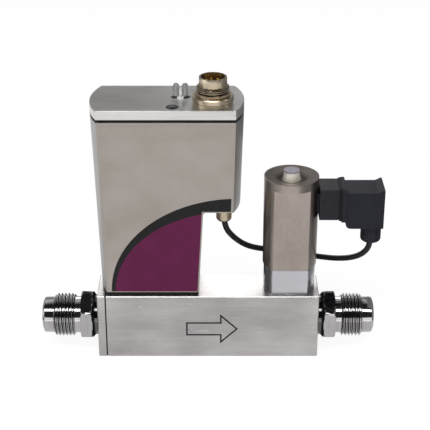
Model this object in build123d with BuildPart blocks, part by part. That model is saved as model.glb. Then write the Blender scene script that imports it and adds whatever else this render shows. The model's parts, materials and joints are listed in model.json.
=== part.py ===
from build123d import *
import os
from math import cos, pi, radians, tan

os.makedirs("parts", exist_ok=True)

# Thermal mass flow controller: a bar-stock base with a laminar flow element and a bypass sensor,
# a cast electronics housing over the sensor, and a solenoid control valve at the outlet end.
# X runs along the gas line from inlet to outlet and Z is up. X = 0 is the middle of the base,
# Y = 0 is the plane of the gas line, and Z = 0 is the underside. All sizes are in millimetres.

# ---------------------------------------------------------------- driving dimensions

# Base and gas line
base_length = 113.5
base_depth = 24.0
base_height = 35.4
end_plate_thickness = 4.3
line_z = 18.4
edge_break = 0.4

# Face-seal fittings with a 7/8-14 male thread, measured outward from the base's end
hex_start, hex_end = 2.0, 9.1
thread_start, thread_end = 12.2, 23.2
fitting_reach = 29.1
hex_flats = 23.8
neck_r = 10.4
relief_r = 9.45
thread_r = 11.1
nose_r = 9.35
gas_bore_r = 5.1
shank_r = 8.0
shank_length = 10.0

# O-rings round the two shanks and between end plate and base
line_seal_r = 8.95
line_seal_section = 0.85

# Flow element bore, sensor taps and passages inside the base
element_bore_r = 5.5
element_bore_end = -14.0
passage_r = 2.5
riser_x, riser_r = 34.2, 2.0
sensor_x = -27.5
tap_spacing = 18.0
sensor_screw_spacing = 29.0

# Electronics housing: a drafted casting with bowed ends and a step cut out of its outlet side
lid_x, lid_y = -19.9, 5.9
lid_flat = 67.0
lid_depth = 36.8
lid_bow = 4.25
body_bottom, body_top = 36.7, 130.0
draft_angle = 1.75
wall = 2.2
floor = 2.5
step_top = (-2.2, 82.0)
step_bottom = (-4.6, 36.7)
cap_bottom, cap_top = 131.5, 136.05

# Cap fittings: round connector, two light guides and a set-up button
connector_x = 2.6
connector_top = 149.2
connector_body_r, connector_thread_r = 8.7, 8.0
barrel_r, barrel_bore_r = 6.8, 5.85
lens_x, lens_y, lens_pitch, lens_r = -13.2, 7.3, 4.4, 1.5
button_x, button_y = -16.9, -6.9
button_r = 1.45

# Control valve
valve_x = 41.7
valve_base_r, valve_base_flat, valve_base_top = 13.1, 9.6, 49.2
can_r, can_flat, can_flat_top, can_top = 13.7, 10.4, 93.4, 97.5
pocket_r, pocket_bottom = 10.0, 27.9
sleeve_r, sleeve_bore_r = 5.0, 4.1
plunger_r = 4.05
plunger_bottom, plunger_top = 33.0, 74.0
seat_z = 32.3
plunger_gap = 1.0
coil_top = 92.2

# Valve plug, its terminal base and the cable between housing and plug
plug_z = 84.5
terminal_start, terminal_end = 55.5, 65.4
gasket_end, flange_end, hood_end = 66.6, 68.7, 87.7
hood_bottom, hood_top = 72.0, 91.4
hood_half = 8.4
spout_x, spout_r, spout_bottom = 82.5, 5.2, 61.8
gland_x, gland_y = 8.15, 2.0
gland_bottom = 72.0
cable_r = 1.5

# Two long screws clamp cap, housing and gaskets down on the base
tie_rods_x = (-43.5, -24.0)
tie_rod_y = 8.2
tie_rod_r = 1.5

# Circuit boards
board_front, board_back = 14.0, 15.6
board_posts_xz = ((-42.0, 50.0), (-13.0, 50.0), (-42.0, 118.0), (4.0, 118.0))
shelf_bottom, shelf_top = 123.4, 125.0

# ---------------------------------------------------------------- planes shared by the parts

inlet_end = -base_length / 2
outlet_end = base_length / 2
joint_x = inlet_end + end_plate_thickness
inlet_face = Plane(origin=(inlet_end, 0, line_z), x_dir=(0, 0, 1), z_dir=(-1, 0, 0))
joint_face = Plane(origin=(joint_x, 0, line_z), x_dir=(0, 0, 1), z_dir=(-1, 0, 0))
outlet_face = Plane(origin=(outlet_end, 0, line_z), x_dir=(0, 0, 1), z_dir=(1, 0, 0))
front_face = Plane(origin=(0, -base_depth / 2, 0), x_dir=(1, 0, 0), z_dir=(0, -1, 0))
label_plane = Plane(
    origin=(0, lid_y - lid_depth / 2, body_top),
    x_dir=(1, 0, 0),
    z_dir=(0, -1, -tan(radians(draft_angle))),
)


def turning_plane(x, y=0):
    """Upright plane through a vertical axis: sketch x is the radius and sketch y the height."""
    return Plane(origin=(x, y, 0), x_dir=(1, 0, 0), z_dir=(0, -1, 0))


def upright_axis(x, y=0):
    return Axis((x, y, 0), (0, 0, 1))


def plug_plane(x):
    """Plane across the plug at x: sketch x is Y and sketch y is the height above the plug's centre."""
    return Plane(origin=(x, 0, plug_z), x_dir=(0, 1, 0), z_dir=(1, 0, 0))


def lean(z):
    """How far the housing's drafted faces have come in at height z."""
    return (body_top - z) * tan(radians(draft_angle))


# ---------------------------------------------------------------- screws and O-rings


def socket_screw(radius, length, head_r, head_height):
    """Socket screw with its head's seat at the origin and its shank down the -Z axis."""
    with BuildPart() as screw:
        Cylinder(radius, length, align=(Align.CENTER, Align.CENTER, Align.MAX))
        Cylinder(head_r, head_height, align=(Align.CENTER, Align.CENTER, Align.MIN))
        with BuildSketch(Plane.XY.offset(head_height)):
            RegularPolygon(radius=head_r * 0.45, side_count=6, major_radius=False)
        extrude(amount=-head_height * 0.5, mode=Mode.SUBTRACT)
    return screw.part


def countersunk_screw(radius, length, head_r):
    """Countersunk socket screw with its flat head at the origin and its shank down the -Z axis."""
    with BuildPart() as screw:
        with BuildSketch(turning_plane(0)):
            Polygon((0, 0), (head_r, 0), (radius, radius - head_r), (radius, -length), (0, -length), align=None)
        revolve(axis=upright_axis(0))
        with BuildSketch(Plane.XY):
            RegularPolygon(radius=radius * 0.6, side_count=6, major_radius=False)
        extrude(amount=-radius, mode=Mode.SUBTRACT)
    return screw.part


# ---------------------------------------------------------------- base and gas line

# Corner screws of the end plate, as (height, side) from the gas line
end_screws = ((13.1, 8.6), (13.1, -8.6), (-14.5, 8.6), (-14.5, -8.6))
end_screw_r = 1.5
end_screw_head_r = 2.9
end_screw_length = 9.3
seal_recess_r = line_seal_r + line_seal_section + 0.1
seal_recess_depth = 2 * line_seal_section
mounting_holes_x = (-25.0, 25.0)
mounting_hole_r, mounting_hole_depth = 2.1, 8.0
rod_head_r, rod_head_height, rod_seat = 2.75, 3.0, 3.2
taps_x = (sensor_x - tap_spacing / 2, sensor_x + tap_spacing / 2)
sensor_screws_x = (sensor_x - sensor_screw_spacing / 2, sensor_x + sensor_screw_spacing / 2)

with BuildPart() as base_block:
    with BuildSketch(Plane.XY):
        with Locations(((joint_x + outlet_end) / 2, 0)):
            Rectangle(outlet_end - joint_x, base_depth)
    extrude(amount=base_height)
    chamfer(base_block.edges(), length=edge_break)
    # Inlet side: shank port, seal recess, bore for the flow element, passage to the valve
    with Locations(joint_face):
        Hole(radius=shank_r, depth=shank_length - end_plate_thickness)
        Hole(radius=seal_recess_r, depth=seal_recess_depth)
        Hole(radius=element_bore_r, depth=element_bore_end - joint_x)
        Hole(radius=passage_r, depth=riser_x - joint_x)
        with Locations(*end_screws):
            Hole(radius=end_screw_r, depth=end_screw_length - end_plate_thickness + 0.3)
    # Outlet side: shank port and seal recess, then the bore that meets the valve's outlet
    with Locations(outlet_face):
        Hole(radius=shank_r, depth=shank_length)
        Hole(radius=seal_recess_r, depth=seal_recess_depth)
        Hole(radius=4.0, depth=outlet_end - valve_x + 2.6)
    # Valve pocket with its riser and central outlet
    with Locations((valve_x, 0, base_height)):
        Hole(radius=pocket_r, depth=base_height - pocket_bottom)
        Hole(radius=2.6, depth=base_height - line_z)
    with Locations((riser_x, 0, pocket_bottom)):
        Hole(radius=riser_r, depth=pocket_bottom - line_z)
    # Sensor taps into the bore, and the sensor's screw holes
    with Locations(*[(x, 0, base_height) for x in taps_x]):
        Hole(radius=1.0, depth=base_height - line_z)
    with Locations(*[(x, 0, base_height) for x in sensor_screws_x]):
        Hole(radius=1.5, depth=8.0)
    # Underside: counterbored clearance for the long screws, and tapped mounting holes
    with Locations(*[Plane(origin=(x, tie_rod_y, 0), z_dir=(0, 0, -1)) for x in tie_rods_x]):
        CounterBoreHole(radius=tie_rod_r + 0.15, counter_bore_radius=3.0, counter_bore_depth=rod_seat)
    with Locations(*[Plane(origin=(x, 0, 0), z_dir=(0, 0, -1)) for x in mounting_holes_x]):
        Hole(radius=mounting_hole_r, depth=mounting_hole_depth)
base_block.part.label = "base_block"
export_step(base_block.part, "parts/base_block.step")

with BuildPart() as inlet_end_plate:
    with BuildSketch(joint_face):
        with Locations((base_height / 2 - line_z, 0)):
            Rectangle(base_height, base_depth)
    extrude(amount=end_plate_thickness)
    chamfer(inlet_end_plate.edges(), length=edge_break)
    with Locations(inlet_face):
        Hole(radius=shank_r, depth=end_plate_thickness)
        Hole(radius=seal_recess_r, depth=seal_recess_depth)
        with Locations(*end_screws):
            CounterSinkHole(radius=end_screw_r, counter_sink_radius=end_screw_head_r, counter_sink_angle=90)
inlet_end_plate.part.label = "inlet_end_plate"
export_step(inlet_end_plate.part, "parts/inlet_end_plate.step")

with BuildPart() as end_plate_screws:
    with Locations(inlet_face):
        with Locations(*end_screws):
            add(countersunk_screw(end_screw_r, end_screw_length, end_screw_head_r))
end_plate_screws.part.label = "end_plate_screws"
export_step(end_plate_screws.part, "parts/end_plate_screws.step")

with BuildPart() as line_seals:
    with Locations(*[face.offset(-line_seal_section) for face in (inlet_face, joint_face, outlet_face)]):
        Torus(line_seal_r, line_seal_section)
line_seals.part.label = "line_seals"
export_step(line_seals.part, "parts/line_seals.step")


def face_seal_fitting(face):
    """Male face-seal fitting turned from hexagon bar; face's z axis is the way it points."""
    profile = Plane(origin=face.origin, x_dir=face.z_dir, z_dir=face.y_dir)
    turning = Axis(face.origin, face.z_dir)
    corner_r = hex_flats / 2 / cos(pi / 6) + 0.1
    flat_r = hex_flats / 2 + 0.2
    bead_r = 7.2
    with BuildPart() as fitting:
        with BuildSketch(face.offset(hex_start)):
            RegularPolygon(radius=hex_flats / 2, side_count=6, major_radius=False)
        extrude(amount=hex_end - hex_start)
        # Thirty degree corners, turned before the hexagon is milled
        with BuildSketch(profile):
            Polygon(
                (hex_start, 0), (hex_start, flat_r), (hex_start + 1.0, corner_r),
                (hex_end - 1.0, corner_r), (hex_end, flat_r), (hex_end, 0), align=None,
            )
        revolve(axis=turning, mode=Mode.INTERSECT)
        # Shank, neck, relief groove, thread and nose with its sealing bead
        with BuildSketch(profile):
            Polygon(
                (-shank_length, 0), (-shank_length, shank_r), (0, shank_r), (0, neck_r),
                (hex_start, neck_r), (hex_end, neck_r), (hex_end, relief_r), (thread_start, relief_r),
                (thread_start, thread_r - 0.9), (thread_start + 0.9, thread_r),
                (thread_end - 0.9, thread_r), (thread_end, thread_r - 0.9), (thread_end, nose_r),
                (fitting_reach - 1.0, nose_r), (fitting_reach - 0.5, nose_r - 0.5),
                (fitting_reach - 0.5, bead_r + 0.5), (fitting_reach, bead_r + 0.2),
                (fitting_reach, bead_r - 0.5), (fitting_reach - 0.5, bead_r - 0.9),
                (fitting_reach - 0.5, 0), align=None,
            )
        revolve(axis=turning)
        with Locations(face.offset(fitting_reach)):
            Hole(radius=gas_bore_r, depth=fitting_reach + shank_length)
    return fitting.part


with BuildPart() as inlet_fitting:
    add(face_seal_fitting(inlet_face))
inlet_fitting.part.label = "inlet_fitting"
export_step(inlet_fitting.part, "parts/inlet_fitting.step")

with BuildPart() as outlet_fitting:
    add(face_seal_fitting(outlet_face))
outlet_fitting.part.label = "outlet_fitting"
export_step(outlet_fitting.part, "parts/outlet_fitting.step")

# Sintered disc between the inlet fitting's shank and the flow element
filter_start = inlet_end + shank_length
filter_end = filter_start + 3.0
with BuildPart() as inlet_filter:
    with BuildSketch(Plane.YZ.offset(filter_start)):
        with Locations((0, line_z)):
            Circle(element_bore_r)
    extrude(amount=filter_end - filter_start)
inlet_filter.part.label = "inlet_filter"
export_step(inlet_filter.part, "parts/inlet_filter.step")

# Laminar flow element: a perforated collar, a waist under the first tap, a splined core whose
# grooves split the gas into laminar channels, and a tail cone under the second tap
core_start, core_end = -34.0, -21.0
channel_count = 12
with BuildPart() as flow_element:
    core_axis = Plane(origin=(0, 0, line_z), x_dir=(1, 0, 0), z_dir=(0, -1, 0))
    with BuildSketch(core_axis):
        Polygon(
            (filter_end, 0), (filter_end, element_bore_r), (filter_end + 2.5, element_bore_r),
            (filter_end + 2.5, 3.2), (core_start, 3.2), (core_start, element_bore_r),
            (core_end, element_bore_r), (core_end, 4.0), (element_bore_end - 1.5, 1.5),
            (element_bore_end - 1.5, 0), align=None,
        )
    revolve(axis=Axis((0, 0, line_z), (1, 0, 0)))
    with BuildSketch(Plane(origin=(core_start, 0, line_z), x_dir=(0, 1, 0), z_dir=(1, 0, 0))):
        with PolarLocations(element_bore_r - 0.4, channel_count):
            Rectangle(1.0, 0.6)
    extrude(amount=core_end - core_start, mode=Mode.SUBTRACT)
    with BuildSketch(Plane(origin=(filter_end, 0, line_z), x_dir=(0, 1, 0), z_dir=(1, 0, 0))):
        with PolarLocations(4.2, 6):
            Circle(0.8)
    extrude(amount=2.5, mode=Mode.SUBTRACT)
flow_element.part.label = "flow_element"
export_step(flow_element.part, "parts/flow_element.step")

# ---------------------------------------------------------------- bypass sensor

sensor_base_length, sensor_base_depth, sensor_base_top = 35.0, 12.0, 41.4
tap_seal_r, tap_seal_section = 2.0, 0.5
capillary_r, capillary_top, capillary_foot = 0.5, 62.0, 38.4
winding_length, winding_r = 3.0, 1.1

with BuildPart() as sensor_base:
    with BuildSketch(Plane.XY.offset(base_height)):
        with Locations((sensor_x, 0)):
            RectangleRounded(sensor_base_length, sensor_base_depth, 2.0)
    extrude(amount=sensor_base_top - base_height)
    with Locations(*[(x, 0, sensor_base_top) for x in taps_x]):
        Hole(radius=capillary_r)
    with Locations(*[(x, 0, base_height + 2 * tap_seal_section) for x in taps_x]):
        Hole(radius=tap_seal_r + tap_seal_section + 0.1, depth=2 * tap_seal_section)
    with Locations(*[(x, 0, sensor_base_top) for x in sensor_screws_x]):
        Hole(radius=end_screw_r + 0.1)
sensor_base.part.label = "sensor_base"
export_step(sensor_base.part, "parts/sensor_base.step")

with BuildPart() as sensor_seals:
    with Locations(*[(x, 0, base_height + tap_seal_section) for x in taps_x]):
        Torus(tap_seal_r, tap_seal_section)
sensor_seals.part.label = "sensor_seals"
export_step(sensor_seals.part, "parts/sensor_seals.step")

with BuildPart() as sensor_screws:
    with Locations(*[(x, 0, sensor_base_top) for x in sensor_screws_x]):
        add(socket_screw(end_screw_r, 13.0, rod_head_r, rod_head_height))
sensor_screws.part.label = "sensor_screws"
export_step(sensor_screws.part, "parts/sensor_screws.step")

with BuildPart() as sensor_tube:
    with BuildLine() as capillary:
        FilletPolyline(
            (taps_x[0], 0, capillary_foot), (taps_x[0], 0, capillary_top),
            (taps_x[1], 0, capillary_top), (taps_x[1], 0, capillary_foot), radius=4.5,
        )
    with BuildSketch(Plane(origin=(taps_x[0], 0, capillary_foot), z_dir=(0, 0, 1))):
        Circle(capillary_r)
    sweep()
sensor_tube.part.label = "sensor_tube"
export_step(sensor_tube.part, "parts/sensor_tube.step")

with BuildPart() as sensor_windings:
    for x in (sensor_x - 0.5 - winding_length, sensor_x + 0.5):
        with BuildSketch(Plane(origin=(x, 0, capillary_top), x_dir=(0, 1, 0), z_dir=(1, 0, 0))):
            Circle(winding_r)
            Circle(capillary_r, mode=Mode.SUBTRACT)
        extrude(amount=winding_length)
sensor_windings.part.label = "sensor_windings"
export_step(sensor_windings.part, "parts/sensor_windings.step")

with BuildPart() as sensor_cover:
    with BuildSketch(Plane.XY.offset(sensor_base_top)):
        with Locations((sensor_x, 0)):
            RectangleRounded(22.4, 10.4, 2.0)
    extrude(amount=25.0)
    fillet(sensor_cover.faces().sort_by(Axis.Z)[-1].edges(), radius=1.0)
    with BuildSketch(Plane.XY.offset(sensor_base_top)):
        with Locations((sensor_x, 0)):
            RectangleRounded(20.8, 8.8, 1.2)
    extrude(amount=24.2, mode=Mode.SUBTRACT)
sensor_cover.part.label = "sensor_cover"
export_step(sensor_cover.part, "parts/sensor_cover.step")

# ---------------------------------------------------------------- electronics housing


def lid_outline(inset):
    """The housing's outline seen from above, centred on it and drawn inset by the given amount."""
    half_flat, half_depth = lid_flat / 2, lid_depth / 2
    with BuildSketch(Plane.XY) as outline:
        with BuildLine():
            front = Line((-half_flat, -half_depth), (half_flat, -half_depth))
            outlet_bow = ThreePointArc(front @ 1, (half_flat + lid_bow, 0), (half_flat, half_depth))
            back = Line(outlet_bow @ 1, (-half_flat, half_depth))
            ThreePointArc(back @ 1, (-half_flat - lid_bow, 0), front @ 0)
        make_face()
        if inset:
            offset(amount=-inset, kind=Kind.INTERSECTION, mode=Mode.REPLACE)
    return outline.sketch


def housing_form(inset, bottom, step_rise=0.0):
    """The drafted, stepped form of the housing, drawn inset and reaching down to bottom."""
    with BuildPart() as form:
        with BuildSketch(Plane(origin=(lid_x, lid_y, body_top), x_dir=(1, 0, 0), z_dir=(0, 0, -1))):
            add(lid_outline(inset))
        extrude(amount=body_top - bottom, taper=draft_angle)
        with BuildSketch(Plane.XZ) as step:
            slope = (step_top[0] - step_bottom[0]) / (step_top[1] - step_bottom[1])
            Polygon(
                (step_top[0] - inset, step_top[1] + step_rise),
                (step_bottom[0] - inset - slope * 10, step_bottom[1] - 10),
                (60, step_bottom[1] - 10), (60, step_top[1] + step_rise), align=None,
            )
            corner = step.vertices().group_by(Axis.Y)[-1].sort_by(Axis.X)[0]
            fillet(corner, radius=1.5)
        extrude(amount=60, both=True, mode=Mode.SUBTRACT)
    return form.part


lid_plane = Plane(origin=(lid_x, lid_y, body_top), x_dir=(1, 0, 0), z_dir=(0, 0, 1))
window_x = (sensor_x - sensor_base_length / 2 - 0.6, sensor_x + sensor_base_length / 2 + 0.6)
window_depth = sensor_base_depth + 0.8
gland_thread_r = 3.5
body_form = housing_form(0, body_bottom)

with BuildPart() as board_posts:
    for x, z in board_posts_xz:
        with BuildSketch(Plane.XZ.offset(-board_back)):
            with Locations((x, z)):
                Circle(3.0)
    extrude(amount=-12)
    add(body_form, mode=Mode.INTERSECT)

with BuildPart() as housing:
    add(body_form)
    add(housing_form(wall, body_bottom + floor, floor), mode=Mode.SUBTRACT)
    add(board_posts.part)
    # Window for the sensor in the floor, clearance for the long screws, thread for the gland
    with BuildSketch(Plane.XY.offset(body_bottom)):
        with Locations((sensor_x, 0)):
            Rectangle(window_x[1] - window_x[0], window_depth)
    extrude(amount=floor, mode=Mode.SUBTRACT)
    with Locations(*[(x, tie_rod_y, body_bottom + floor) for x in tie_rods_x]):
        Hole(radius=tie_rod_r + 0.15, depth=floor)
    with Locations((gland_x, gland_y, step_top[1] + floor)):
        Hole(radius=gland_thread_r, depth=floor)
    with Locations(*[Plane(origin=(x, board_back, z), z_dir=(0, -1, 0)) for x, z in board_posts_xz]):
        Hole(radius=1.2, depth=4.0)
housing.part.label = "housing"
export_step(housing.part, "parts/housing.step")

with BuildPart() as housing_gasket:
    with Locations(((joint_x + step_bottom[0]) / 2, 0, base_height)):
        Box(
            60, 2 * (base_depth / 2 - edge_break), body_bottom - base_height,
            align=(Align.CENTER, Align.CENTER, Align.MIN),
        )
    add(housing_form(0.3, base_height), mode=Mode.INTERSECT)
    with BuildSketch(Plane.XY.offset(base_height)):
        with Locations((sensor_x, 0)):
            Rectangle(window_x[1] - window_x[0], window_depth)
        with Locations(*[(x, tie_rod_y) for x in tie_rods_x]):
            Circle(tie_rod_r + 0.15)
    extrude(amount=body_bottom - base_height, mode=Mode.SUBTRACT)
housing_gasket.part.label = "housing_gasket"
export_step(housing_gasket.part, "parts/housing_gasket.step")

with BuildPart() as cap_gasket:
    with BuildSketch(lid_plane):
        add(lid_outline(0.5))
        add(lid_outline(3.0), mode=Mode.SUBTRACT)
    extrude(amount=cap_bottom - body_top)
cap_gasket.part.label = "cap_gasket"
export_step(cap_gasket.part, "parts/cap_gasket.step")

cap_post_r, cap_post_bottom, rod_top = 3.5, 118.0, 128.0
slot_length, slot_width, slot_depth = 9.6, 4.6, 1.6
lens_xs = (lens_x - lens_pitch / 2, lens_x + lens_pitch / 2)
with BuildPart() as cap_plate:
    with BuildSketch(lid_plane.offset(cap_bottom - body_top)):
        add(lid_outline(0))
    extrude(amount=cap_top - cap_bottom)
    chamfer(cap_plate.faces().sort_by(Axis.Z)[-1].edges(), length=0.3)
    # Posts under the plate take the long screws
    with Locations(*[(x, tie_rod_y, cap_post_bottom) for x in tie_rods_x]):
        Cylinder(
            cap_post_r, cap_bottom - cap_post_bottom,
            align=(Align.CENTER, Align.CENTER, Align.MIN),
        )
    with Locations(*[Plane(origin=(x, tie_rod_y, cap_post_bottom), z_dir=(0, 0, -1)) for x in tie_rods_x]):
        Hole(radius=tie_rod_r, depth=rod_top - cap_post_bottom)
    with Locations((connector_x, 0, cap_top)):
        Hole(radius=connector_body_r, depth=cap_top - cap_bottom)
    # Sunken slot for the light guides, and a counterbored hole for the button
    with BuildSketch(Plane.XY.offset(cap_top)):
        with Locations((lens_x, lens_y)):
            SlotOverall(slot_length, slot_width)
    extrude(amount=-slot_depth, mode=Mode.SUBTRACT)
    with Locations(*[(x, lens_y, cap_top) for x in lens_xs]):
        Hole(radius=lens_r + 0.5, depth=cap_top - cap_bottom)
    with Locations((button_x, button_y, cap_top)):
        CounterBoreHole(
            radius=button_r + 0.1, counter_bore_radius=3.1, counter_bore_depth=0.9,
            depth=cap_top - cap_bottom,
        )
cap_plate.part.label = "cap_plate"
export_step(cap_plate.part, "parts/cap_plate.step")

with BuildPart() as tie_rods:
    with Locations(*[Location((x, tie_rod_y, rod_seat), (180, 0, 0)) for x in tie_rods_x]):
        add(socket_screw(tie_rod_r, rod_top - rod_seat - 0.5, rod_head_r, rod_head_height))
tie_rods.part.label = "tie_rods"
export_step(tie_rods.part, "parts/tie_rods.step")

# ---------------------------------------------------------------- front label and flow arrow

label_margin, foil_thickness, print_thickness = 0.7, 0.12, 0.05
label_top, label_bottom = 128.4, 37.3


def on_face(x, z):
    """Point x, z of the front view as a point of the sketch on the leaning front face."""
    return x, (z - body_top) / cos(radians(draft_angle))


def label_outline():
    """The label's outline on the front face, with the housing's step cut out of it."""
    left, right = lid_x - lid_flat / 2 + label_margin, lid_x + lid_flat / 2 - label_margin
    step_z = step_top[1] + label_margin
    with BuildSketch(Plane.XY) as outline:
        Polygon(
            on_face(left + lean(label_top), label_top),
            on_face(right - lean(label_top), label_top),
            on_face(right - lean(step_z), step_z),
            on_face(step_top[0] - label_margin, step_z),
            on_face(step_bottom[0] - label_margin, label_bottom),
            on_face(left + lean(label_bottom), label_bottom), align=None,
        )
    return outline.sketch


# Centre and half-axes of the two ellipses that bound the curved band
band_outer = (14.4, 37.4, 63.4, 52.5)
band_inner = (10.5, 36.9, 57.5, 45.7)

with BuildPart() as front_label:
    with BuildSketch(label_plane):
        add(label_outline())
    extrude(amount=foil_thickness)
front_label.part.label = "front_label"
export_step(front_label.part, "parts/front_label.step")

with BuildPart() as label_band:
    with BuildSketch(label_plane.offset(foil_thickness)):
        with Locations(on_face(*band_outer[:2])):
            Ellipse(*band_outer[2:])
        with Locations(on_face(*band_inner[:2])):
            Ellipse(*band_inner[2:], mode=Mode.SUBTRACT)
        add(label_outline(), mode=Mode.INTERSECT)
    extrude(amount=print_thickness)
label_band.part.label = "label_band"
export_step(label_band.part, "parts/label_band.step")

with BuildPart() as label_field:
    with BuildSketch(label_plane.offset(foil_thickness)):
        with Locations(on_face(*band_inner[:2])):
            Ellipse(*band_inner[2:])
        add(label_outline(), mode=Mode.INTERSECT)
    extrude(amount=print_thickness)
label_field.part.label = "label_field"
export_step(label_field.part, "parts/label_field.step")

# Outline arrow on the base, pointing from inlet to outlet
arrow_z, arrow_tail, arrow_shoulder, arrow_tip = 16.5, -11.3, 6.2, 15.4
arrow_shaft_half, arrow_head_half, arrow_line = 3.9, 8.7, 0.8
with BuildPart() as flow_arrow:
    with BuildSketch(front_face):
        Polygon(
            (arrow_tail, arrow_z - arrow_shaft_half), (arrow_shoulder, arrow_z - arrow_shaft_half),
            (arrow_shoulder, arrow_z - arrow_head_half), (arrow_tip, arrow_z),
            (arrow_shoulder, arrow_z + arrow_head_half), (arrow_shoulder, arrow_z + arrow_shaft_half),
            (arrow_tail, arrow_z + arrow_shaft_half), align=None,
        )
        offset(amount=-arrow_line, kind=Kind.INTERSECTION, mode=Mode.SUBTRACT)
    extrude(amount=print_thickness)
flow_arrow.part.label = "flow_arrow"
export_step(flow_arrow.part, "parts/flow_arrow.step")

# ---------------------------------------------------------------- circuit boards

board_plane = Plane(origin=(0, board_back, 0), x_dir=(1, 0, 0), z_dir=(0, -1, 0))
board_face = board_plane.offset(board_back - board_front)
with BuildPart() as main_board:
    with BuildSketch(board_plane):
        Polygon((-46, 44), (-9, 44), (-9, 87), (8.5, 87), (8.5, 126), (-46, 126), align=None)
    extrude(amount=board_back - board_front)
    with Locations(*[Plane(origin=(x, board_front, z), z_dir=(0, -1, 0)) for x, z in board_posts_xz]):
        Hole(radius=1.3)
main_board.part.label = "main_board"
export_step(main_board.part, "parts/main_board.step")

with BuildPart() as board_screws:
    with Locations(*[Location((x, board_front, z), (90, 0, 0)) for x, z in board_posts_xz]):
        add(socket_screw(1.2, 5.4, 2.2, 1.5))
board_screws.part.label = "board_screws"
export_step(board_screws.part, "parts/board_screws.step")

# Small shelf board under the cap carries the lamps and the button's switch
shelf_x = (-20.2, -7.0)
with BuildPart() as shelf_board:
    with BuildSketch(Plane.XY.offset(shelf_bottom)):
        with Locations(((shelf_x[0] + shelf_x[1]) / 2, (board_front - 9.8) / 2)):
            Rectangle(shelf_x[1] - shelf_x[0], board_front + 9.8)
    extrude(amount=shelf_top - shelf_bottom)
shelf_board.part.label = "shelf_board"
export_step(shelf_board.part, "parts/shelf_board.step")

switch_height, switch_bore_r, switch_bore = 3.6, 1.25, 2.5
chip_size, chip_height = 14.0, 1.6
with BuildPart() as board_components:
    # Processor and amplifier chips
    with BuildSketch(board_face):
        with Locations((-31, 98)):
            Rectangle(chip_size, chip_size)
        with Locations((-32, 74)):
            Rectangle(10, 8)
    extrude(amount=chip_height)
    # Two electrolytic capacitors and the supply's transformer
    with BuildSketch(board_face):
        with Locations((-15, 96), (-15, 106)):
            Circle(3.2)
    extrude(amount=3.8)
    with BuildSketch(board_face):
        with Locations((0.5, 101)):
            Rectangle(11, 9)
    extrude(amount=6.5)
    # Switch under the button
    with Locations((button_x, button_y, shelf_top)):
        Box(4.4, 4.4, switch_height, align=(Align.CENTER, Align.CENTER, Align.MIN))
    with Locations((button_x, button_y, shelf_top + switch_height)):
        Hole(radius=switch_bore_r, depth=switch_bore)
board_components.part.label = "board_components"
export_step(board_components.part, "parts/board_components.step")

# ---------------------------------------------------------------- cap fittings

connector_axis = turning_plane(connector_x)
connector_bottom, insert_bottom, insert_top = 129.5, 133.0, 142.5
connector_washer_top, connector_nut_top, connector_body_top, connector_thread_top = 137.3, 140.1, 141.0, 144.9
connector_washer_r, connector_nut_r = 9.8, 10.15
pin_r, pin_circle_r, pin_bottom, pin_top = 0.5, 3.5, 126.0, 147.2

with BuildPart() as connector_shell:
    with BuildSketch(connector_axis):
        Polygon(
            (5.0, connector_bottom), (9.4, connector_bottom), (9.4, cap_bottom),
            (connector_body_r, cap_bottom), (connector_body_r, connector_body_top),
            (connector_thread_r, connector_body_top + 0.3), (connector_thread_r, connector_thread_top - 0.7),
            (barrel_r + 0.5, connector_thread_top), (barrel_r, connector_thread_top),
            (barrel_r, connector_top - 0.3), (barrel_r - 0.3, connector_top),
            (barrel_bore_r, connector_top), (barrel_bore_r, insert_bottom), (5.0, insert_bottom), align=None,
        )
    revolve(axis=upright_axis(connector_x))
connector_shell.part.label = "connector_shell"
export_step(connector_shell.part, "parts/connector_shell.step")

with BuildPart() as connector_washer:
    with BuildSketch(Plane.XY.offset(cap_top)):
        with Locations((connector_x, 0)):
            Circle(connector_washer_r)
            Circle(connector_body_r, mode=Mode.SUBTRACT)
    extrude(amount=connector_washer_top - cap_top)
    chamfer(connector_washer.faces().sort_by(Axis.Z)[-1].edges().sort_by(SortBy.RADIUS)[-1], length=0.25)
connector_washer.part.label = "connector_washer"
export_step(connector_washer.part, "parts/connector_washer.step")

with BuildPart() as connector_nut:
    with BuildSketch(connector_axis):
        Polygon(
            (connector_body_r, connector_washer_top), (connector_nut_r - 0.4, connector_washer_top),
            (connector_nut_r, connector_washer_top + 0.3), (connector_nut_r, connector_nut_top - 0.5),
            (connector_nut_r - 0.4, connector_nut_top), (connector_body_r, connector_nut_top), align=None,
        )
    revolve(axis=upright_axis(connector_x))
connector_nut.part.label = "connector_nut"
export_step(connector_nut.part, "parts/connector_nut.step")

# Seven pins on a circle and one in the middle
with BuildPart() as connector_pins:
    with Locations((connector_x, 0, pin_bottom)):
        with PolarLocations(pin_circle_r, 7):
            Cylinder(pin_r, pin_top - pin_bottom, align=(Align.CENTER, Align.CENTER, Align.MIN))
        Cylinder(pin_r, pin_top - pin_bottom, align=(Align.CENTER, Align.CENTER, Align.MIN))
    chamfer(connector_pins.faces().group_by(Axis.Z)[-1].edges(), length=0.25)
connector_pins.part.label = "connector_pins"
export_step(connector_pins.part, "parts/connector_pins.step")

with BuildPart() as connector_insert:
    with BuildSketch(connector_axis):
        Polygon(
            (0, connector_bottom), (5.0, connector_bottom), (5.0, insert_bottom),
            (barrel_bore_r, insert_bottom), (barrel_bore_r, insert_top), (0, insert_top), align=None,
        )
    revolve(axis=upright_axis(connector_x))
    with Locations((connector_x, 0, insert_top)):
        with PolarLocations(pin_circle_r, 7):
            Hole(radius=pin_r)
        Hole(radius=pin_r)
connector_insert.part.label = "connector_insert"
export_step(connector_insert.part, "parts/connector_insert.step")

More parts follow.
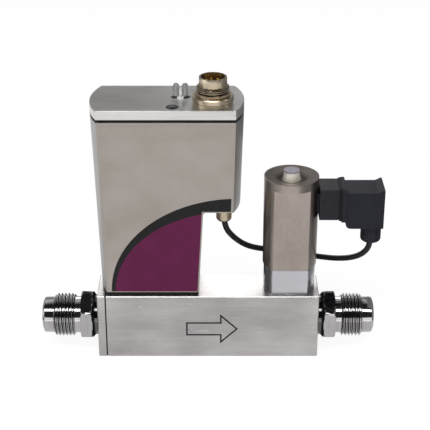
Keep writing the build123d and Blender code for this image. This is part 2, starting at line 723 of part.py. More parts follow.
# White bridge in the middle of the sunken slot, and a clear domed light guide on each side of it
bridge_width, bridge_web, bridge_web_top = 2.3, 1.2, 139.2
lens_top = 143.2
with BuildPart() as lens_carrier:
    with BuildSketch(Plane.XY.offset(cap_top - slot_depth)):
        with Locations((lens_x, lens_y)):
            Rectangle(bridge_width, slot_width - 0.1)
        with Locations(*[(x, lens_y) for x in lens_xs]):
            Circle(lens_r + 0.05, mode=Mode.SUBTRACT)
    extrude(amount=slot_depth)
    with BuildSketch(Plane.XY.offset(cap_top)):
        with Locations((lens_x, lens_y)):
            Rectangle(bridge_web, lens_r)
    extrude(amount=bridge_web_top - cap_top)
lens_carrier.part.label = "lens_carrier"
export_step(lens_carrier.part, "parts/lens_carrier.step")

with BuildPart() as status_lenses:
    with Locations(*[(x, lens_y, shelf_top) for x in lens_xs]):
        Cylinder(lens_r, lens_top - shelf_top, align=(Align.CENTER, Align.CENTER, Align.MIN))
    fillet(status_lenses.faces().group_by(Axis.Z)[-1].edges(), radius=lens_r - 0.05)
status_lenses.part.label = "status_lenses"
export_step(status_lenses.part, "parts/status_lenses.step")

# Set-up button: stem through the cap, collar under it, and a tip that presses the switch
button_top, collar_r, collar_height, tip_r, tip_bottom = 135.5, 2.4, 1.0, 1.1, 128.0
collar_top = cap_bottom - 0.05
with BuildPart() as setup_button:
    with BuildSketch(turning_plane(button_x, button_y)):
        Polygon(
            (0, tip_bottom), (tip_r, tip_bottom), (tip_r, collar_top - collar_height),
            (collar_r, collar_top - collar_height), (collar_r, collar_top), (button_r, collar_top),
            (button_r, button_top - 0.3), (button_r - 0.3, button_top), (0, button_top), align=None,
        )
    revolve(axis=upright_axis(button_x, button_y))
setup_button.part.label = "setup_button"
export_step(setup_button.part, "parts/setup_button.step")

# ---------------------------------------------------------------- cable from housing to valve

# Gland under the housing's step: a threaded body with a hexagon, and a dome nut
gland_axis = turning_plane(gland_x, gland_y)
gland_hex_bottom, nut_cavity_bottom, nut_cavity_r, nut_r = 79.5, 74.5, 2.95, 4.0
with BuildPart() as gland_body:
    with BuildSketch(Plane(origin=(gland_x, gland_y, gland_hex_bottom))):
        RegularPolygon(radius=4.5, side_count=6, major_radius=False)
    extrude(amount=step_top[1] - gland_hex_bottom)
    with Locations((gland_x, gland_y, step_top[1])):
        Cylinder(gland_thread_r, floor + 1.5, align=(Align.CENTER, Align.CENTER, Align.MIN))
    with Locations((gland_x, gland_y, nut_cavity_bottom)):
        Cylinder(
            nut_cavity_r, gland_hex_bottom - nut_cavity_bottom,
            align=(Align.CENTER, Align.CENTER, Align.MIN),
        )
    with Locations((gland_x, gland_y, step_top[1] + floor + 1.5)):
        Hole(radius=cable_r + 0.1)
gland_body.part.label = "gland_body"
export_step(gland_body.part, "parts/gland_body.step")

with BuildPart() as gland_nut:
    with Locations((gland_x, gland_y, gland_bottom)):
        Cylinder(nut_r, gland_hex_bottom - gland_bottom, align=(Align.CENTER, Align.CENTER, Align.MIN))
    fillet(gland_nut.faces().sort_by(Axis.Z)[0].edges(), radius=2.0)
    with Locations((gland_x, gland_y, gland_hex_bottom)):
        Hole(radius=nut_cavity_r, depth=gland_hex_bottom - nut_cavity_bottom)
        Hole(radius=cable_r)
gland_nut.part.label = "gland_nut"
export_step(gland_nut.part, "parts/gland_nut.step")

# The cable hangs from the gland, passes behind the valve and rises into the plug's spout
cable_route = (
    (8.15, 2.0, 75.5),
    (8.15, 2.0, 69.0),
    (12.6, 4.9, 61.2),
    (20.3, 11.1, 52.7),
    (31.0, 16.8, 47.9),
    (43.8, 19.4, 45.1),
    (57.0, 15.6, 44.4),
    (68.6, 8.6, 46.6),
    (76.6, 3.3, 50.6),
    (80.8, 1.0, 54.9),
    (82.5, 0.0, 59.6),
    (82.5, 0.0, 64.6),
)
route = [Vector(*point) for point in cable_route]
runs = [(after - before).length for before, after in zip(route, route[1:])]
turns = [(b - a).get_angle(c - b) for a, b, c in zip(route, route[1:], route[2:])]
bend_radii = [
    0.45 * min(run, next_run) / tan(radians(turn) / 2)
    for run, next_run, turn in zip(runs, runs[1:], turns)
]
with BuildPart() as valve_cable:
    with BuildLine() as cable_path:
        FilletPolyline(*route, radius=bend_radii)
    with BuildSketch(Plane(origin=route[0], z_dir=route[1] - route[0])):
        Circle(cable_r)
    sweep()
valve_cable.part.label = "valve_cable"
export_step(valve_cable.part, "parts/valve_cable.step")
cable_length = cable_path.wire().length
print("cable bend radii", [round(radius, 1) for radius in bend_radii])
print("cable runs", [round(run, 1) for run in runs], "length", round(cable_length, 1))
print("cable volume", round(valve_cable.part.volume, 1), "of", round(pi * cable_r**2 * cable_length, 1))

# ---------------------------------------------------------------- control valve

valve_axis = turning_plane(valve_x)
valve_turning = upright_axis(valve_x)
spigot_bottom, spigot_r, undercut_r, undercut_top, throat_r = 30.4, 9.95, 8.4, 32.4, 7.0
sleeve_bottom = 33.2

# Orifice nozzle in the middle of the pocket, with a raised lip that the plunger closes
with BuildPart() as valve_seat:
    with BuildSketch(valve_axis):
        Polygon(
            (0.6, 24.4), (2.6, 24.4), (2.6, pocket_bottom), (5.0, pocket_bottom), (5.0, 31.4),
            (4.5, 31.9), (1.5, 31.9), (1.3, seat_z), (0.9, seat_z), (0.6, 32.0), align=None,
        )
    revolve(axis=valve_turning)
valve_seat.part.label = "valve_seat"
export_step(valve_seat.part, "parts/valve_seat.step")

with BuildPart() as valve_base:
    with BuildSketch(valve_axis):
        Polygon(
            (throat_r, spigot_bottom), (undercut_r, spigot_bottom), (undercut_r, undercut_top),
            (spigot_r, undercut_top), (spigot_r, base_height), (valve_base_r, base_height),
            (valve_base_r, valve_base_top - 0.4), (valve_base_r - 0.4, valve_base_top),
            (sleeve_r, valve_base_top), (sleeve_r, 34.0), (throat_r, 34.0), align=None,
        )
    revolve(axis=valve_turning)
    # Wrench flats, front and back
    with BuildSketch(Plane.XY.offset(base_height)):
        with Locations((valve_x, 15 + valve_base_flat), (valve_x, -15 - valve_base_flat)):
            Rectangle(30, 30)
    extrude(amount=valve_base_top - base_height, mode=Mode.SUBTRACT)
valve_base.part.label = "valve_base"
export_step(valve_base.part, "parts/valve_base.step")

with BuildPart() as valve_base_seal:
    with Locations((valve_x, 0, (spigot_bottom + undercut_top) / 2)):
        Torus((undercut_r + pocket_r) / 2, (pocket_r - undercut_r) / 2)
valve_base_seal.part.label = "valve_base_seal"
export_step(valve_base_seal.part, "parts/valve_base_seal.step")

with BuildPart() as guide_sleeve:
    with BuildSketch(Plane.XY.offset(sleeve_bottom)):
        with Locations((valve_x, 0)):
            Circle(sleeve_r)
            Circle(sleeve_bore_r, mode=Mode.SUBTRACT)
    extrude(amount=coil_top - sleeve_bottom)
guide_sleeve.part.label = "guide_sleeve"
export_step(guide_sleeve.part, "parts/guide_sleeve.step")

# Fixed core: the plunger is pulled up against it, and its stud holds the coil down
pole_bottom, stud_r, stud_top = plunger_top + plunger_gap, 3.0, 98.0
with BuildPart() as pole_piece:
    with BuildSketch(valve_axis):
        Polygon(
            (0, pole_bottom), (sleeve_bore_r, pole_bottom), (sleeve_bore_r, coil_top),
            (stud_r, coil_top), (stud_r, stud_top), (0, stud_top), align=None,
        )
    revolve(axis=valve_turning)
pole_piece.part.label = "pole_piece"
export_step(pole_piece.part, "parts/pole_piece.step")

disc_r, disc_top, spring_seat, spring_bore_r = 2.6, 34.5, 66.0, 2.8
with BuildPart() as valve_plunger:
    with BuildSketch(valve_axis):
        Polygon(
            (0, disc_top), (disc_r, disc_top), (disc_r, plunger_bottom), (plunger_r, plunger_bottom),
            (plunger_r, plunger_top), (spring_bore_r, plunger_top), (spring_bore_r, spring_seat),
            (0, spring_seat), align=None,
        )
    revolve(axis=valve_turning)
    # Gas passes the plunger in four long flutes
    with BuildSketch(Plane.XY.offset(plunger_bottom)):
        with Locations((valve_x, 0)):
            with PolarLocations(plunger_r, 4):
                Rectangle(1.0, 1.2)
    extrude(amount=plunger_top - plunger_bottom, mode=Mode.SUBTRACT)
valve_plunger.part.label = "valve_plunger"
export_step(valve_plunger.part, "parts/valve_plunger.step")

with BuildPart() as plunger_disc:
    with Locations((valve_x, 0, seat_z)):
        Cylinder(disc_r, disc_top - seat_z, align=(Align.CENTER, Align.CENTER, Align.MIN))
plunger_disc.part.label = "plunger_disc"
export_step(plunger_disc.part, "parts/plunger_disc.step")

spring_wire_r, spring_coil_r, spring_turns = 0.3, 2.1, 5
spring_start, spring_length = spring_seat + spring_wire_r, pole_bottom - spring_seat - 2 * spring_wire_r
with BuildPart() as plunger_spring:
    with BuildLine(Plane(origin=(valve_x, 0, spring_start))) as coil_line:
        Helix(pitch=spring_length / spring_turns, height=spring_length, radius=spring_coil_r)
    with BuildSketch(Plane(origin=coil_line.line @ 0, z_dir=coil_line.line % 0)):
        Circle(spring_wire_r)
    sweep(is_frenet=True)
plunger_spring.part.label = "plunger_spring"
export_step(plunger_spring.part, "parts/plunger_spring.step")

# Coil: flux washer, bobbin, copper winding, and the steel can over them
washer_top, flange_height, bobbin_tube_r, bobbin_flange_r, winding_outer_r = 51.0, 1.2, 5.9, 9.3, 8.7
can_bore_r = 9.4
with BuildPart() as coil_washer:
    with BuildSketch(Plane.XY.offset(valve_base_top)):
        with Locations((valve_x, 0)):
            Circle(bobbin_flange_r)
            Circle(sleeve_r + 0.1, mode=Mode.SUBTRACT)
    extrude(amount=washer_top - valve_base_top)
coil_washer.part.label = "coil_washer"
export_step(coil_washer.part, "parts/coil_washer.step")

with BuildPart() as coil_bobbin:
    with BuildSketch(valve_axis):
        Polygon(
            (sleeve_r + 0.1, washer_top), (bobbin_flange_r, washer_top),
            (bobbin_flange_r, washer_top + flange_height), (bobbin_tube_r, washer_top + flange_height),
            (bobbin_tube_r, coil_top - flange_height), (bobbin_flange_r, coil_top - flange_height),
            (bobbin_flange_r, coil_top), (sleeve_r + 0.1, coil_top), align=None,
        )
    revolve(axis=valve_turning)
coil_bobbin.part.label = "coil_bobbin"
export_step(coil_bobbin.part, "parts/coil_bobbin.step")

with BuildPart() as coil_winding:
    with BuildSketch(Plane.XY.offset(washer_top + flange_height)):
        with Locations((valve_x, 0)):
            Circle(winding_outer_r)
            Circle(bobbin_tube_r, mode=Mode.SUBTRACT)
    extrude(amount=coil_top - washer_top - 2 * flange_height)
coil_winding.part.label = "coil_winding"
export_step(coil_winding.part, "parts/coil_winding.step")

neck_half_width, neck_half_height = 5.0, 5.0
dish_rim_r, dish_step_r, nut_seat_r = can_r - 0.5, 8.1, 4.9
dish_step_z, nut_seat_z = can_top - 1.0, 95.3
with BuildPart() as coil_can:
    with BuildSketch(Plane.XY.offset(valve_base_top)):
        with Locations((valve_x, 0)):
            Circle(can_r)
    extrude(amount=can_top - valve_base_top)
    fillet(coil_can.faces().sort_by(Axis.Z)[0].edges(), radius=1.0)
    # Long flats front and back stop short of the round top ring
    with BuildSketch(Plane.XY.offset(valve_base_top)):
        with Locations((valve_x, 15 + can_flat), (valve_x, -15 - can_flat)):
            Rectangle(30, 30)
    extrude(amount=can_flat_top - valve_base_top, mode=Mode.SUBTRACT)
    # Dished top with a flat seat for the nut
    with BuildSketch(valve_axis):
        Polygon(
            (0, can_top), (dish_rim_r, can_top), (dish_step_r, dish_step_z),
            (nut_seat_r, nut_seat_z), (0, nut_seat_z), align=None,
        )
    revolve(axis=valve_turning, mode=Mode.SUBTRACT)
    with Locations(Plane(origin=(valve_x, 0, valve_base_top), z_dir=(0, 0, -1))):
        Hole(radius=can_bore_r, depth=coil_top - valve_base_top)
    with Locations((valve_x, 0, can_top)):
        Hole(radius=stud_r + 0.05, depth=can_top - coil_top)
    # Window for the terminal's neck
    with BuildSketch(plug_plane(valve_x + can_bore_r - 2)):
        Rectangle(2 * neck_half_width, 2 * neck_half_height)
    extrude(amount=can_r, mode=Mode.SUBTRACT)
coil_can.part.label = "coil_can"
export_step(coil_can.part, "parts/coil_can.step")

nut_foot_r, nut_crown_r, nut_top, cap_disc_r, cap_disc_top = 4.6, 3.75, 100.0, 4.05, 100.7
with BuildPart() as coil_nut:
    with BuildSketch(valve_axis):
        Polygon(
            (stud_r, nut_seat_z), (nut_foot_r, nut_seat_z), (nut_crown_r, nut_top), (0, nut_top),
            (0, stud_top), (stud_r, stud_top), align=None,
        )
    revolve(axis=valve_turning)
coil_nut.part.label = "coil_nut"
export_step(coil_nut.part, "parts/coil_nut.step")

with BuildPart() as coil_nut_disc:
    with Locations((valve_x, 0, nut_top)):
        Cylinder(cap_disc_r, cap_disc_top - nut_top, align=(Align.CENTER, Align.CENTER, Align.MIN))
    chamfer(coil_nut_disc.faces().sort_by(Axis.Z)[-1].edges(), length=0.2)
coil_nut_disc.part.label = "coil_nut_disc"
export_step(coil_nut_disc.part, "parts/coil_nut_disc.step")

# ---------------------------------------------------------------- valve plug

terminal_size, terminal_bore_r, terminal_bore = 16.2, 1.5, 8.0
blade_thickness, blade_width, blade_length, blade_offset = 0.8, 4.8, 9.0, 4.7
with BuildPart() as terminal_base:
    with BuildSketch(plug_plane(terminal_start)):
        RectangleRounded(terminal_size, terminal_size, 0.8)
    extrude(amount=terminal_end - terminal_start)
    with BuildSketch(plug_plane(terminal_start)):
        Rectangle(2 * neck_half_width, 2 * neck_half_height)
    extrude(amount=-(terminal_start - valve_x - bobbin_flange_r - 0.3))
    with Locations(plug_plane(terminal_end)):
        Hole(radius=terminal_bore_r, depth=terminal_bore)
terminal_base.part.label = "terminal_base"
export_step(terminal_base.part, "parts/terminal_base.step")

# Two supply blades and an earth blade
with BuildPart() as terminal_blades:
    with BuildSketch(plug_plane(terminal_end)):
        with Locations((blade_offset, 0), (-blade_offset, 0)):
            Rectangle(blade_thickness, blade_width)
        with Locations((0, -blade_offset)):
            Rectangle(blade_width, blade_thickness)
    extrude(amount=blade_length)
terminal_blades.part.label = "terminal_blades"
export_step(terminal_blades.part, "parts/terminal_blades.step")

with BuildPart() as plug_gasket:
    with BuildSketch(plug_plane(terminal_end)):
        RectangleRounded(17.8, 17.2, 1.5)
        Rectangle(13.0, 13.0, mode=Mode.SUBTRACT)
    extrude(amount=gasket_end - terminal_end)
plug_gasket.part.label = "plug_gasket"
export_step(plug_gasket.part, "parts/plug_gasket.step")

# Plug hood: one moulding with a rim flange, a finger lip along its outer top edge, a cable
# spout underneath and a post for the retaining screw
hood_wall, lip_start, lip_rise, heel_radius = 1.4, 84.2, 1.5, 2.6
cavity_end, screw_seat, screw_recess_r = hood_end - hood_wall, 84.7, 3.3
insert_start, insert_end, insert_half, screw_clearance_r = 67.0, 80.0, 6.8, 1.7
cavity_bottom, cavity_top = hood_bottom + hood_wall, hood_top - 1.3
with BuildPart() as plug_hood:
    with BuildSketch(Plane.XZ) as hood_side:
        Polygon(
            (flange_end, hood_top), (lip_start, hood_top), (hood_end - 0.4, hood_top + lip_rise),
            (hood_end, hood_top + lip_rise - 0.4), (hood_end, hood_bottom), (flange_end, hood_bottom), align=None,
        )
        fillet(hood_side.vertices().group_by(Axis.Y)[0].sort_by(Axis.X)[0], radius=heel_radius)
    extrude(amount=hood_half, both=True)
    fillet(plug_hood.edges().filter_by(Axis.Z).sort_by(Axis.X)[-2:], radius=0.6)
    with BuildSketch(plug_plane(gasket_end)):
        with Locations((0, -0.2)):
            RectangleRounded(18.4, 17.6, 1.0)
    extrude(amount=flange_end - gasket_end)
    with Locations((spout_x, 0, spout_bottom)):
        Cylinder(spout_r, hood_bottom - spout_bottom + 1, align=(Align.CENTER, Align.CENTER, Align.MIN))
    fillet(plug_hood.faces().sort_by(Axis.Z)[0].edges(), radius=1.8)
    with BuildSketch(Plane.XZ):
        Polygon(
            (gasket_end, 77.0), (70.4, 77.0), (72.2, cavity_bottom), (cavity_end, cavity_bottom),
            (cavity_end, cavity_top), (gasket_end, cavity_top), align=None,
        )
    extrude(amount=hood_half - hood_wall, both=True, mode=Mode.SUBTRACT)
    with BuildSketch(plug_plane(insert_end)):
        Circle(screw_recess_r + 1.0)
    extrude(amount=cavity_end - insert_end)
    with Locations(plug_plane(hood_end)):
        Hole(radius=screw_clearance_r)
        Hole(radius=screw_recess_r, depth=hood_end - screw_seat)
    with Locations(Plane(origin=(spout_x, 0, spout_bottom), z_dir=(0, 0, -1))):
        Hole(radius=3.2, depth=cavity_bottom - spout_bottom)
plug_hood.part.label = "plug_hood"
export_step(plug_hood.part, "parts/plug_hood.step")

with BuildPart() as plug_insert:
    with BuildSketch(plug_plane(insert_start)):
        with Locations((0, -0.9)):
            Rectangle(2 * insert_half, 12.6)
    extrude(amount=insert_end - insert_start)
    with BuildSketch(plug_plane(insert_start)):
        with Locations((blade_offset, 0), (-blade_offset, 0)):
            Rectangle(blade_thickness + 0.4, blade_width + 0.4)
        with Locations((0, -blade_offset)):
            Rectangle(blade_width + 0.4, blade_thickness + 0.4)
    extrude(amount=blade_length, mode=Mode.SUBTRACT)
    with Locations(plug_plane(insert_end)):
        Hole(radius=screw_clearance_r)
plug_insert.part.label = "plug_insert"
export_step(plug_insert.part, "parts/plug_insert.step")

with BuildPart() as plug_screw:
    with Locations(Location((screw_seat, 0, plug_z), (0, 90, 0))):
        add(socket_screw(terminal_bore_r, screw_seat - terminal_end + terminal_bore - 0.5, 3.0, 2.0))
plug_screw.part.label = "plug_screw"
export_step(plug_screw.part, "parts/plug_screw.step")

with BuildPart() as plug_grommet:
    with BuildSketch(Plane.XY.offset(spout_bottom)):
        with Locations((spout_x, 0)):
            Circle(3.2)
            Circle(cable_r, mode=Mode.SUBTRACT)
    extrude(amount=9.0)
plug_grommet.part.label = "plug_grommet"
export_step(plug_grommet.part, "parts/plug_grommet.step")
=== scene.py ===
# %% [markdown]
# # A thermal mass flow controller
# This lesson dresses a finished CAD model. Every CAD piece is already in its place, in metres:
# X runs along the gas line, Z is up, and the labelled front looks along -Y.
# The gas fittings, the round connector, a small bridge on the cap and the cable are made again
# here, because threads, soft edges and a hanging bend need more than plain solids. The rest keeps
# its CAD shape and gets a surface, and eight pieces get broken edges too.

# %% Load the frame
import json
from collections import namedtuple
from math import atan2, cos, pi, radians, sin, sqrt

import bmesh
import bpy
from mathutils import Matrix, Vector


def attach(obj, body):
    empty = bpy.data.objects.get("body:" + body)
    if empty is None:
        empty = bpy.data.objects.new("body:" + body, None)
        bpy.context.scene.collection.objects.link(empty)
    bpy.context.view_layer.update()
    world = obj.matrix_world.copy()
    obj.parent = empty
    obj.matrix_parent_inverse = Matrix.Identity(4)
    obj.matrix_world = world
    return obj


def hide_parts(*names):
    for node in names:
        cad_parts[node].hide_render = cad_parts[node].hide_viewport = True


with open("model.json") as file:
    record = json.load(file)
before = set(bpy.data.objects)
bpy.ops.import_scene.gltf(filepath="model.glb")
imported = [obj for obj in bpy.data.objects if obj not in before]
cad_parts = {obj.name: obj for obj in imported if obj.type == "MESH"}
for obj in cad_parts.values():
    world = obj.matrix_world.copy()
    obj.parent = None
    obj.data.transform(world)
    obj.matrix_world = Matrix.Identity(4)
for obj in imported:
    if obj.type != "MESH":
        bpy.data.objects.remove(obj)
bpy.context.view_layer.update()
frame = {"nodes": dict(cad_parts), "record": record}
mm = 0.001
nodes = frame["nodes"]

# %% [markdown]
# ## Camera
# A long lens from a little above keeps the uprights nearly parallel, as in catalogue pictures.
# It could be aimed with a constraint, but a plain position and one tilt are easier to repeat.

# %% Camera
camera_data = bpy.data.cameras.new("studio_camera")
camera_data.lens = 104.1
camera_data.sensor_width = 36
camera_data.clip_start, camera_data.clip_end = 0.05, 30
camera = bpy.data.objects.new("studio_camera", camera_data)
camera.location = (3.593 * mm, -567.066 * mm, 342.594 * mm)
camera.rotation_euler = (radians(64.7992), 0, 0)
bpy.context.scene.collection.objects.link(camera)
bpy.context.scene.camera = camera
bpy.context.scene.view_settings.view_transform = "Standard"
print("camera", round(camera.location.length, 3), "m from the part")

# %% [markdown]
# ## Colours and nodes
# Colours are written as sRGB hex, the way that a paint program shows them, and one function turns
# them into the linear values that the shaders need. One more function adds a node: its settings go
# on the node or on its sockets, and its links name the sockets that they feed.

# %% Two small helpers


def linear(code):
    """An sRGB hex colour as linear red, green, blue and alpha."""
    parts = [int(code[i : i + 2], 16) / 255 for i in (1, 3, 5)]
    return tuple(c / 12.92 if c <= 0.04045 else ((c + 0.055) / 1.055) ** 2.4 for c in parts) + (1.0,)


def add_node(tree, kind, settings=(), links=()):
    """Adds a node, sets its properties or socket values, and joins the given sockets to it."""
    node = tree.nodes.new(kind)
    for name, value in dict(settings).items():
        if isinstance(name, str) and hasattr(node, name):
            setattr(node, name, value)
        else:
            node.inputs[name].default_value = value
    for name, source in dict(links).items():
        tree.links.new(source, node.inputs[name])
    return node


print("mid grey is", [round(c, 3) for c in linear("#808080")[:3]], "in linear light")

# %% [markdown]
# ## Floor
# A white floor runs out past the picture's edge. It could be lit until it is white, but then the
# part would be too bright as well. Instead, most of it glows to the camera and in reflections, and
# the rest of it is a plain matt floor that takes the shadow. Reflections see less of the glow near
# the part, as they would of a real table, which stands in the part's own shade.

# %% Floor
floor_half = 9
floor_mesh = bpy.data.meshes.new("floor")
floor_corners = [(floor_half * x, floor_half * y, 0) for x, y in ((-1, -1), (1, -1), (1, 1), (-1, 1))]
floor_mesh.from_pydata(floor_corners, [], [(0, 1, 2, 3)])
floor = bpy.data.objects.new("floor", floor_mesh)
floor.location.z = -0.2 * mm
bpy.context.scene.collection.objects.link(floor)
print("floor", floor.dimensions.x, "m wide")

# %% Floor paint
floor_paint = bpy.data.materials.new("white_studio_floor")
floor_paint.use_nodes = True
tree = floor_paint.node_tree
tree.nodes.clear()
rays = add_node(tree, "ShaderNodeLightPath")
in_mirrors = rays.outputs["Is Glossy Ray"]
either = {"operation": "MAXIMUM"}
seen = add_node(tree, "ShaderNodeMath", either, {0: rays.outputs["Is Camera Ray"], 1: in_mirrors})
through_glass = rays.outputs["Is Transmission Ray"]
seen = add_node(tree, "ShaderNodeMath", either, {0: seen.outputs[0], 1: through_glass})
# The floor is this much glow to the camera and in reflections, and matt paint for the rest
camera_share, mirror_share = 0.78, 0.55
shares = {"data_type": "FLOAT", 2: camera_share, 3: mirror_share}
share = add_node(tree, "ShaderNodeMix", shares, {0: in_mirrors})
glow_share = add_node(
    tree, "ShaderNodeMath", {"operation": "MULTIPLY"}, {0: seen.outputs[0], 1: share.outputs[0]}
)
matt = add_node(tree, "ShaderNodeBsdfDiffuse", {"Color": linear("#F2F2F2")})
# In reflections the glow rises with the distance from the part, between 0.1 m and 0.5 m
near, far, near_level, far_level, camera_level = 0.1, 0.5, 1.0, 1.25, 1.15
place = add_node(tree, "ShaderNodeNewGeometry")
away = add_node(tree, "ShaderNodeVectorMath", {"operation": "LENGTH"}, {0: place.outputs["Position"]})
rise = add_node(
    tree, "ShaderNodeMapRange",
    {"From Min": near, "From Max": far, "To Min": near_level, "To Max": far_level},
    {"Value": away.outputs["Value"]},
)
level = add_node(
    tree, "ShaderNodeMix", {"data_type": "FLOAT", 2: camera_level}, {0: in_mirrors, 3: rise.outputs[0]}
)
glow = add_node(tree, "ShaderNodeEmission", {"Color": (1, 1, 1, 1)}, {"Strength": level.outputs[0]})
mixed = add_node(
    tree, "ShaderNodeMixShader", {}, {0: glow_share.outputs[0], 1: matt.outputs[0], 2: glow.outputs[0]}
)
add_node(tree, "ShaderNodeOutputMaterial", {}, {"Surface": mixed.outputs[0]})
floor_mesh.materials.append(floor_paint)
print("floor paint made of", len(tree.nodes), "nodes")

# %% [markdown]
# ## Room
# Metal has hardly a colour of its own: it shows the room. A picture of a real studio could be
# wrapped round the part, but a few levels of grey do the same and can be changed one by one. The
# back wall is pale low down, dark in the middle and grey higher up, and the wall behind the camera
# is white at the horizon and dark above it, which puts the dark bands into polished steel.

# %% Room
room = bpy.data.worlds.new("studio_room")
bpy.context.scene.world = room
room.use_nodes = True
tree = room.node_tree
tree.nodes.clear()
direction = add_node(tree, "ShaderNodeTexCoord")
split = add_node(tree, "ShaderNodeSeparateXYZ", {}, {0: direction.outputs["Generated"]})

# Each wall is a list of (sine of the height above the horizon, grey level)
wall_levels = {
    "front": [(0.0, 1.0), (0.06, 0.8), (0.13, 0.015), (1.0, 0.01)],
    "back": [
        (0.0, 0.5), (0.1, 0.42), (0.26, 0.1), (0.42, 0.06),
        (0.56, 0.3), (0.8, 0.38), (0.95, 0.16), (1.0, 0.02),
    ],
}
painted = {}
for wall, levels in wall_levels.items():
    ramp = add_node(tree, "ShaderNodeValToRGB", {}, {0: split.outputs["Z"]})
    stops = ramp.color_ramp.elements
    stops.remove(stops[1])
    for index, (height, grey) in enumerate(levels):
        stop = stops[0] if index == 0 else stops.new(height)
        stop.position = height
        stop.color = (grey, grey, grey, 1)
    painted[wall] = ramp.outputs[0]
print("walls with", [len(levels) for levels in wall_levels.values()], "levels of grey")

# %% Join the walls
# The walls meet in a soft turn a little behind the part
turn = add_node(
    tree, "ShaderNodeMapRange", {"interpolation_type": "SMOOTHSTEP", "From Min": 0.02, "From Max": 0.42},
    {"Value": split.outputs["Y"]},
)
walls = add_node(
    tree, "ShaderNodeMix", {"data_type": "RGBA"},
    {"Factor": turn.outputs[0], "A": painted["front"], "B": painted["back"]},
)
# A dark curtain on the right gives the faces that turn that way their shade
curtain = add_node(
    tree, "ShaderNodeMapRange",
    {"interpolation_type": "SMOOTHSTEP", "From Min": 0.35, "From Max": 0.85, "To Min": 0.0, "To Max": 0.8},
    {"Value": split.outputs["X"]},
)
walls = add_node(
    tree, "ShaderNodeMix", {"data_type": "RGBA", "B": linear("#2A2A2A")},
    {"Factor": curtain.outputs[0], "A": walls.outputs["Result"]},
)
background = add_node(tree, "ShaderNodeBackground", {"Strength": 2.0}, {"Color": walls.outputs["Result"]})
add_node(tree, "ShaderNodeOutputWorld", {}, {"Surface": background.outputs[0]})
print("room made of", len(tree.nodes), "nodes")

# %% [markdown]
# ## Lamps
# Three large soft lamps stand in for studio windows. Small lamps would put hard bright spots on
# every curved metal face; large ones give the long soft bands of a catalogue picture.

# %% Lamps


def softbox(name, place, aim, size, power):
    """A rectangular soft lamp at place, turned towards aim."""
    data = bpy.data.lights.new(name, "AREA")
    data.shape = "RECTANGLE"
    data.size, data.size_y = size
    data.energy = power
    lamp = bpy.data.objects.new(name, data)
    lamp.location = place
    along_x, along_y, along_z = [b - a for a, b in zip(place, aim)]
    lamp.rotation_euler = (atan2(sqrt(along_x**2 + along_y**2), -along_z), 0, atan2(-along_x, along_y))
    bpy.context.scene.collection.objects.link(lamp)
    return lamp


part_middle = (0, 0, 0.07)
lamps = [
    softbox("front_strip", (-0.1, -0.95, 1.35), part_middle, (2.2, 0.36), 18),
    softbox("left_window", (-1.5, -0.5, 0.7), part_middle, (0.8, 1.0), 3.5),
    softbox("right_window", (1.5, -0.2, 0.8), part_middle, (0.6, 1.0), 3),
]
print(len(lamps), "soft lamps,", sum(lamp.data.energy for lamp in lamps), "W in all")

# %% [markdown]
# ## Cards
# A photographer of metal sets small cards round the part to draw its form. Here only reflections
# see them, so they can't light the part or throw a shadow. White ones behind the base make the
# flat top of the bar bright, while the cap, which is higher up, looks over them. Dark ones stand
# at the sides and on the floor beside the part, so that the round and square forms part from each
# other. The dark card behind the housing, the one on the floor behind the part and the dark disc
# at each fitting's root are painted shade: they stand for the housing's shadow, the part's shadow
# on the floor and the shaded end faces of the block. Each fitting also has a low white card in
# front of it.

# %% Making a card


def reflected_card(name, corners, strength):
    """A flat card with corners in millimetres that is seen in reflections alone."""
    mesh = bpy.data.meshes.new(name)
    mesh.from_pydata([[size * mm for size in corner] for corner in corners], [], [range(len(corners))])
    card = bpy.data.objects.new(name, mesh)
    bpy.context.scene.collection.objects.link(card)
    card.visible_camera = card.visible_diffuse = card.visible_shadow = card.visible_transmission = False
    paint = bpy.data.materials.new(name)
    paint.use_nodes = True
    paint.node_tree.nodes.clear()
    glow = add_node(paint.node_tree, "ShaderNodeEmission", {"Color": (1, 1, 1, 1), "Strength": strength})
    add_node(paint.node_tree, "ShaderNodeOutputMaterial", {}, {"Surface": glow.outputs[0]})
    mesh.materials.append(paint)


def rectangle(low, high):
    """Four corners of a card that is flat in the one axis where low and high agree."""
    wide, tall = [axis for axis in range(3) if low[axis] != high[axis]]
    corners = []
    for end_wide, end_tall in ((low, low), (high, low), (high, high), (low, high)):
        corner = list(low)
        corner[wide], corner[tall] = end_wide[wide], end_tall[tall]
        corners.append(corner)
    return corners


print("a card between two corners:", rectangle((0, 5, 0), (2, 5, 1)))

# %% Cards round the part
card_table = (
    # White, far behind the base: one for the middle of the bar's top and two for its ends
    ("white_card", (-12, 300, 110), (34, 300, 200), 8),
    ("left_white", (-110, 300, 120), (-49, 300, 200), 5),
    ("right_white", (46, 300, 120), (110, 300, 200), 5),
    # Dark on the right and behind the housing's foot, where faces would show the white floor; the one behind
    # the foot is painted shade that stands for the housing's shadow
    ("right_card", (135, -50, 0), (135, 300, 200), 0.25),
    ("rear_card", (-50, 50, 30), (-4, 50, 130), 0.03),
    # Painted shadow: a dark card on the floor behind the part stands for the part's own shadow there
    ("floor_card", (-90, 30, 1), (30, 160, 1), 0.03),
    # Flags that keep the white cards off the cap's top and off the dish on the valve
    ("cap_flag", (-120, 40, 137), (100, 40, 230), 0.27),
    ("valve_flag", (16, 45, 98), (100, 45, 135), 0.14),
    # Dark floor beside the part, for the lower halves of the fittings
    ("left_floor", (-350, -300, 1), (-140, 60, 1), 0.15),
    ("right_floor", (150, -300, 1), (400, 300, 1), 0.15),
)
for name, low, high, strength in card_table:
    reflected_card(name, rectangle(low, high), strength)
print(len(card_table), "cards round the part")

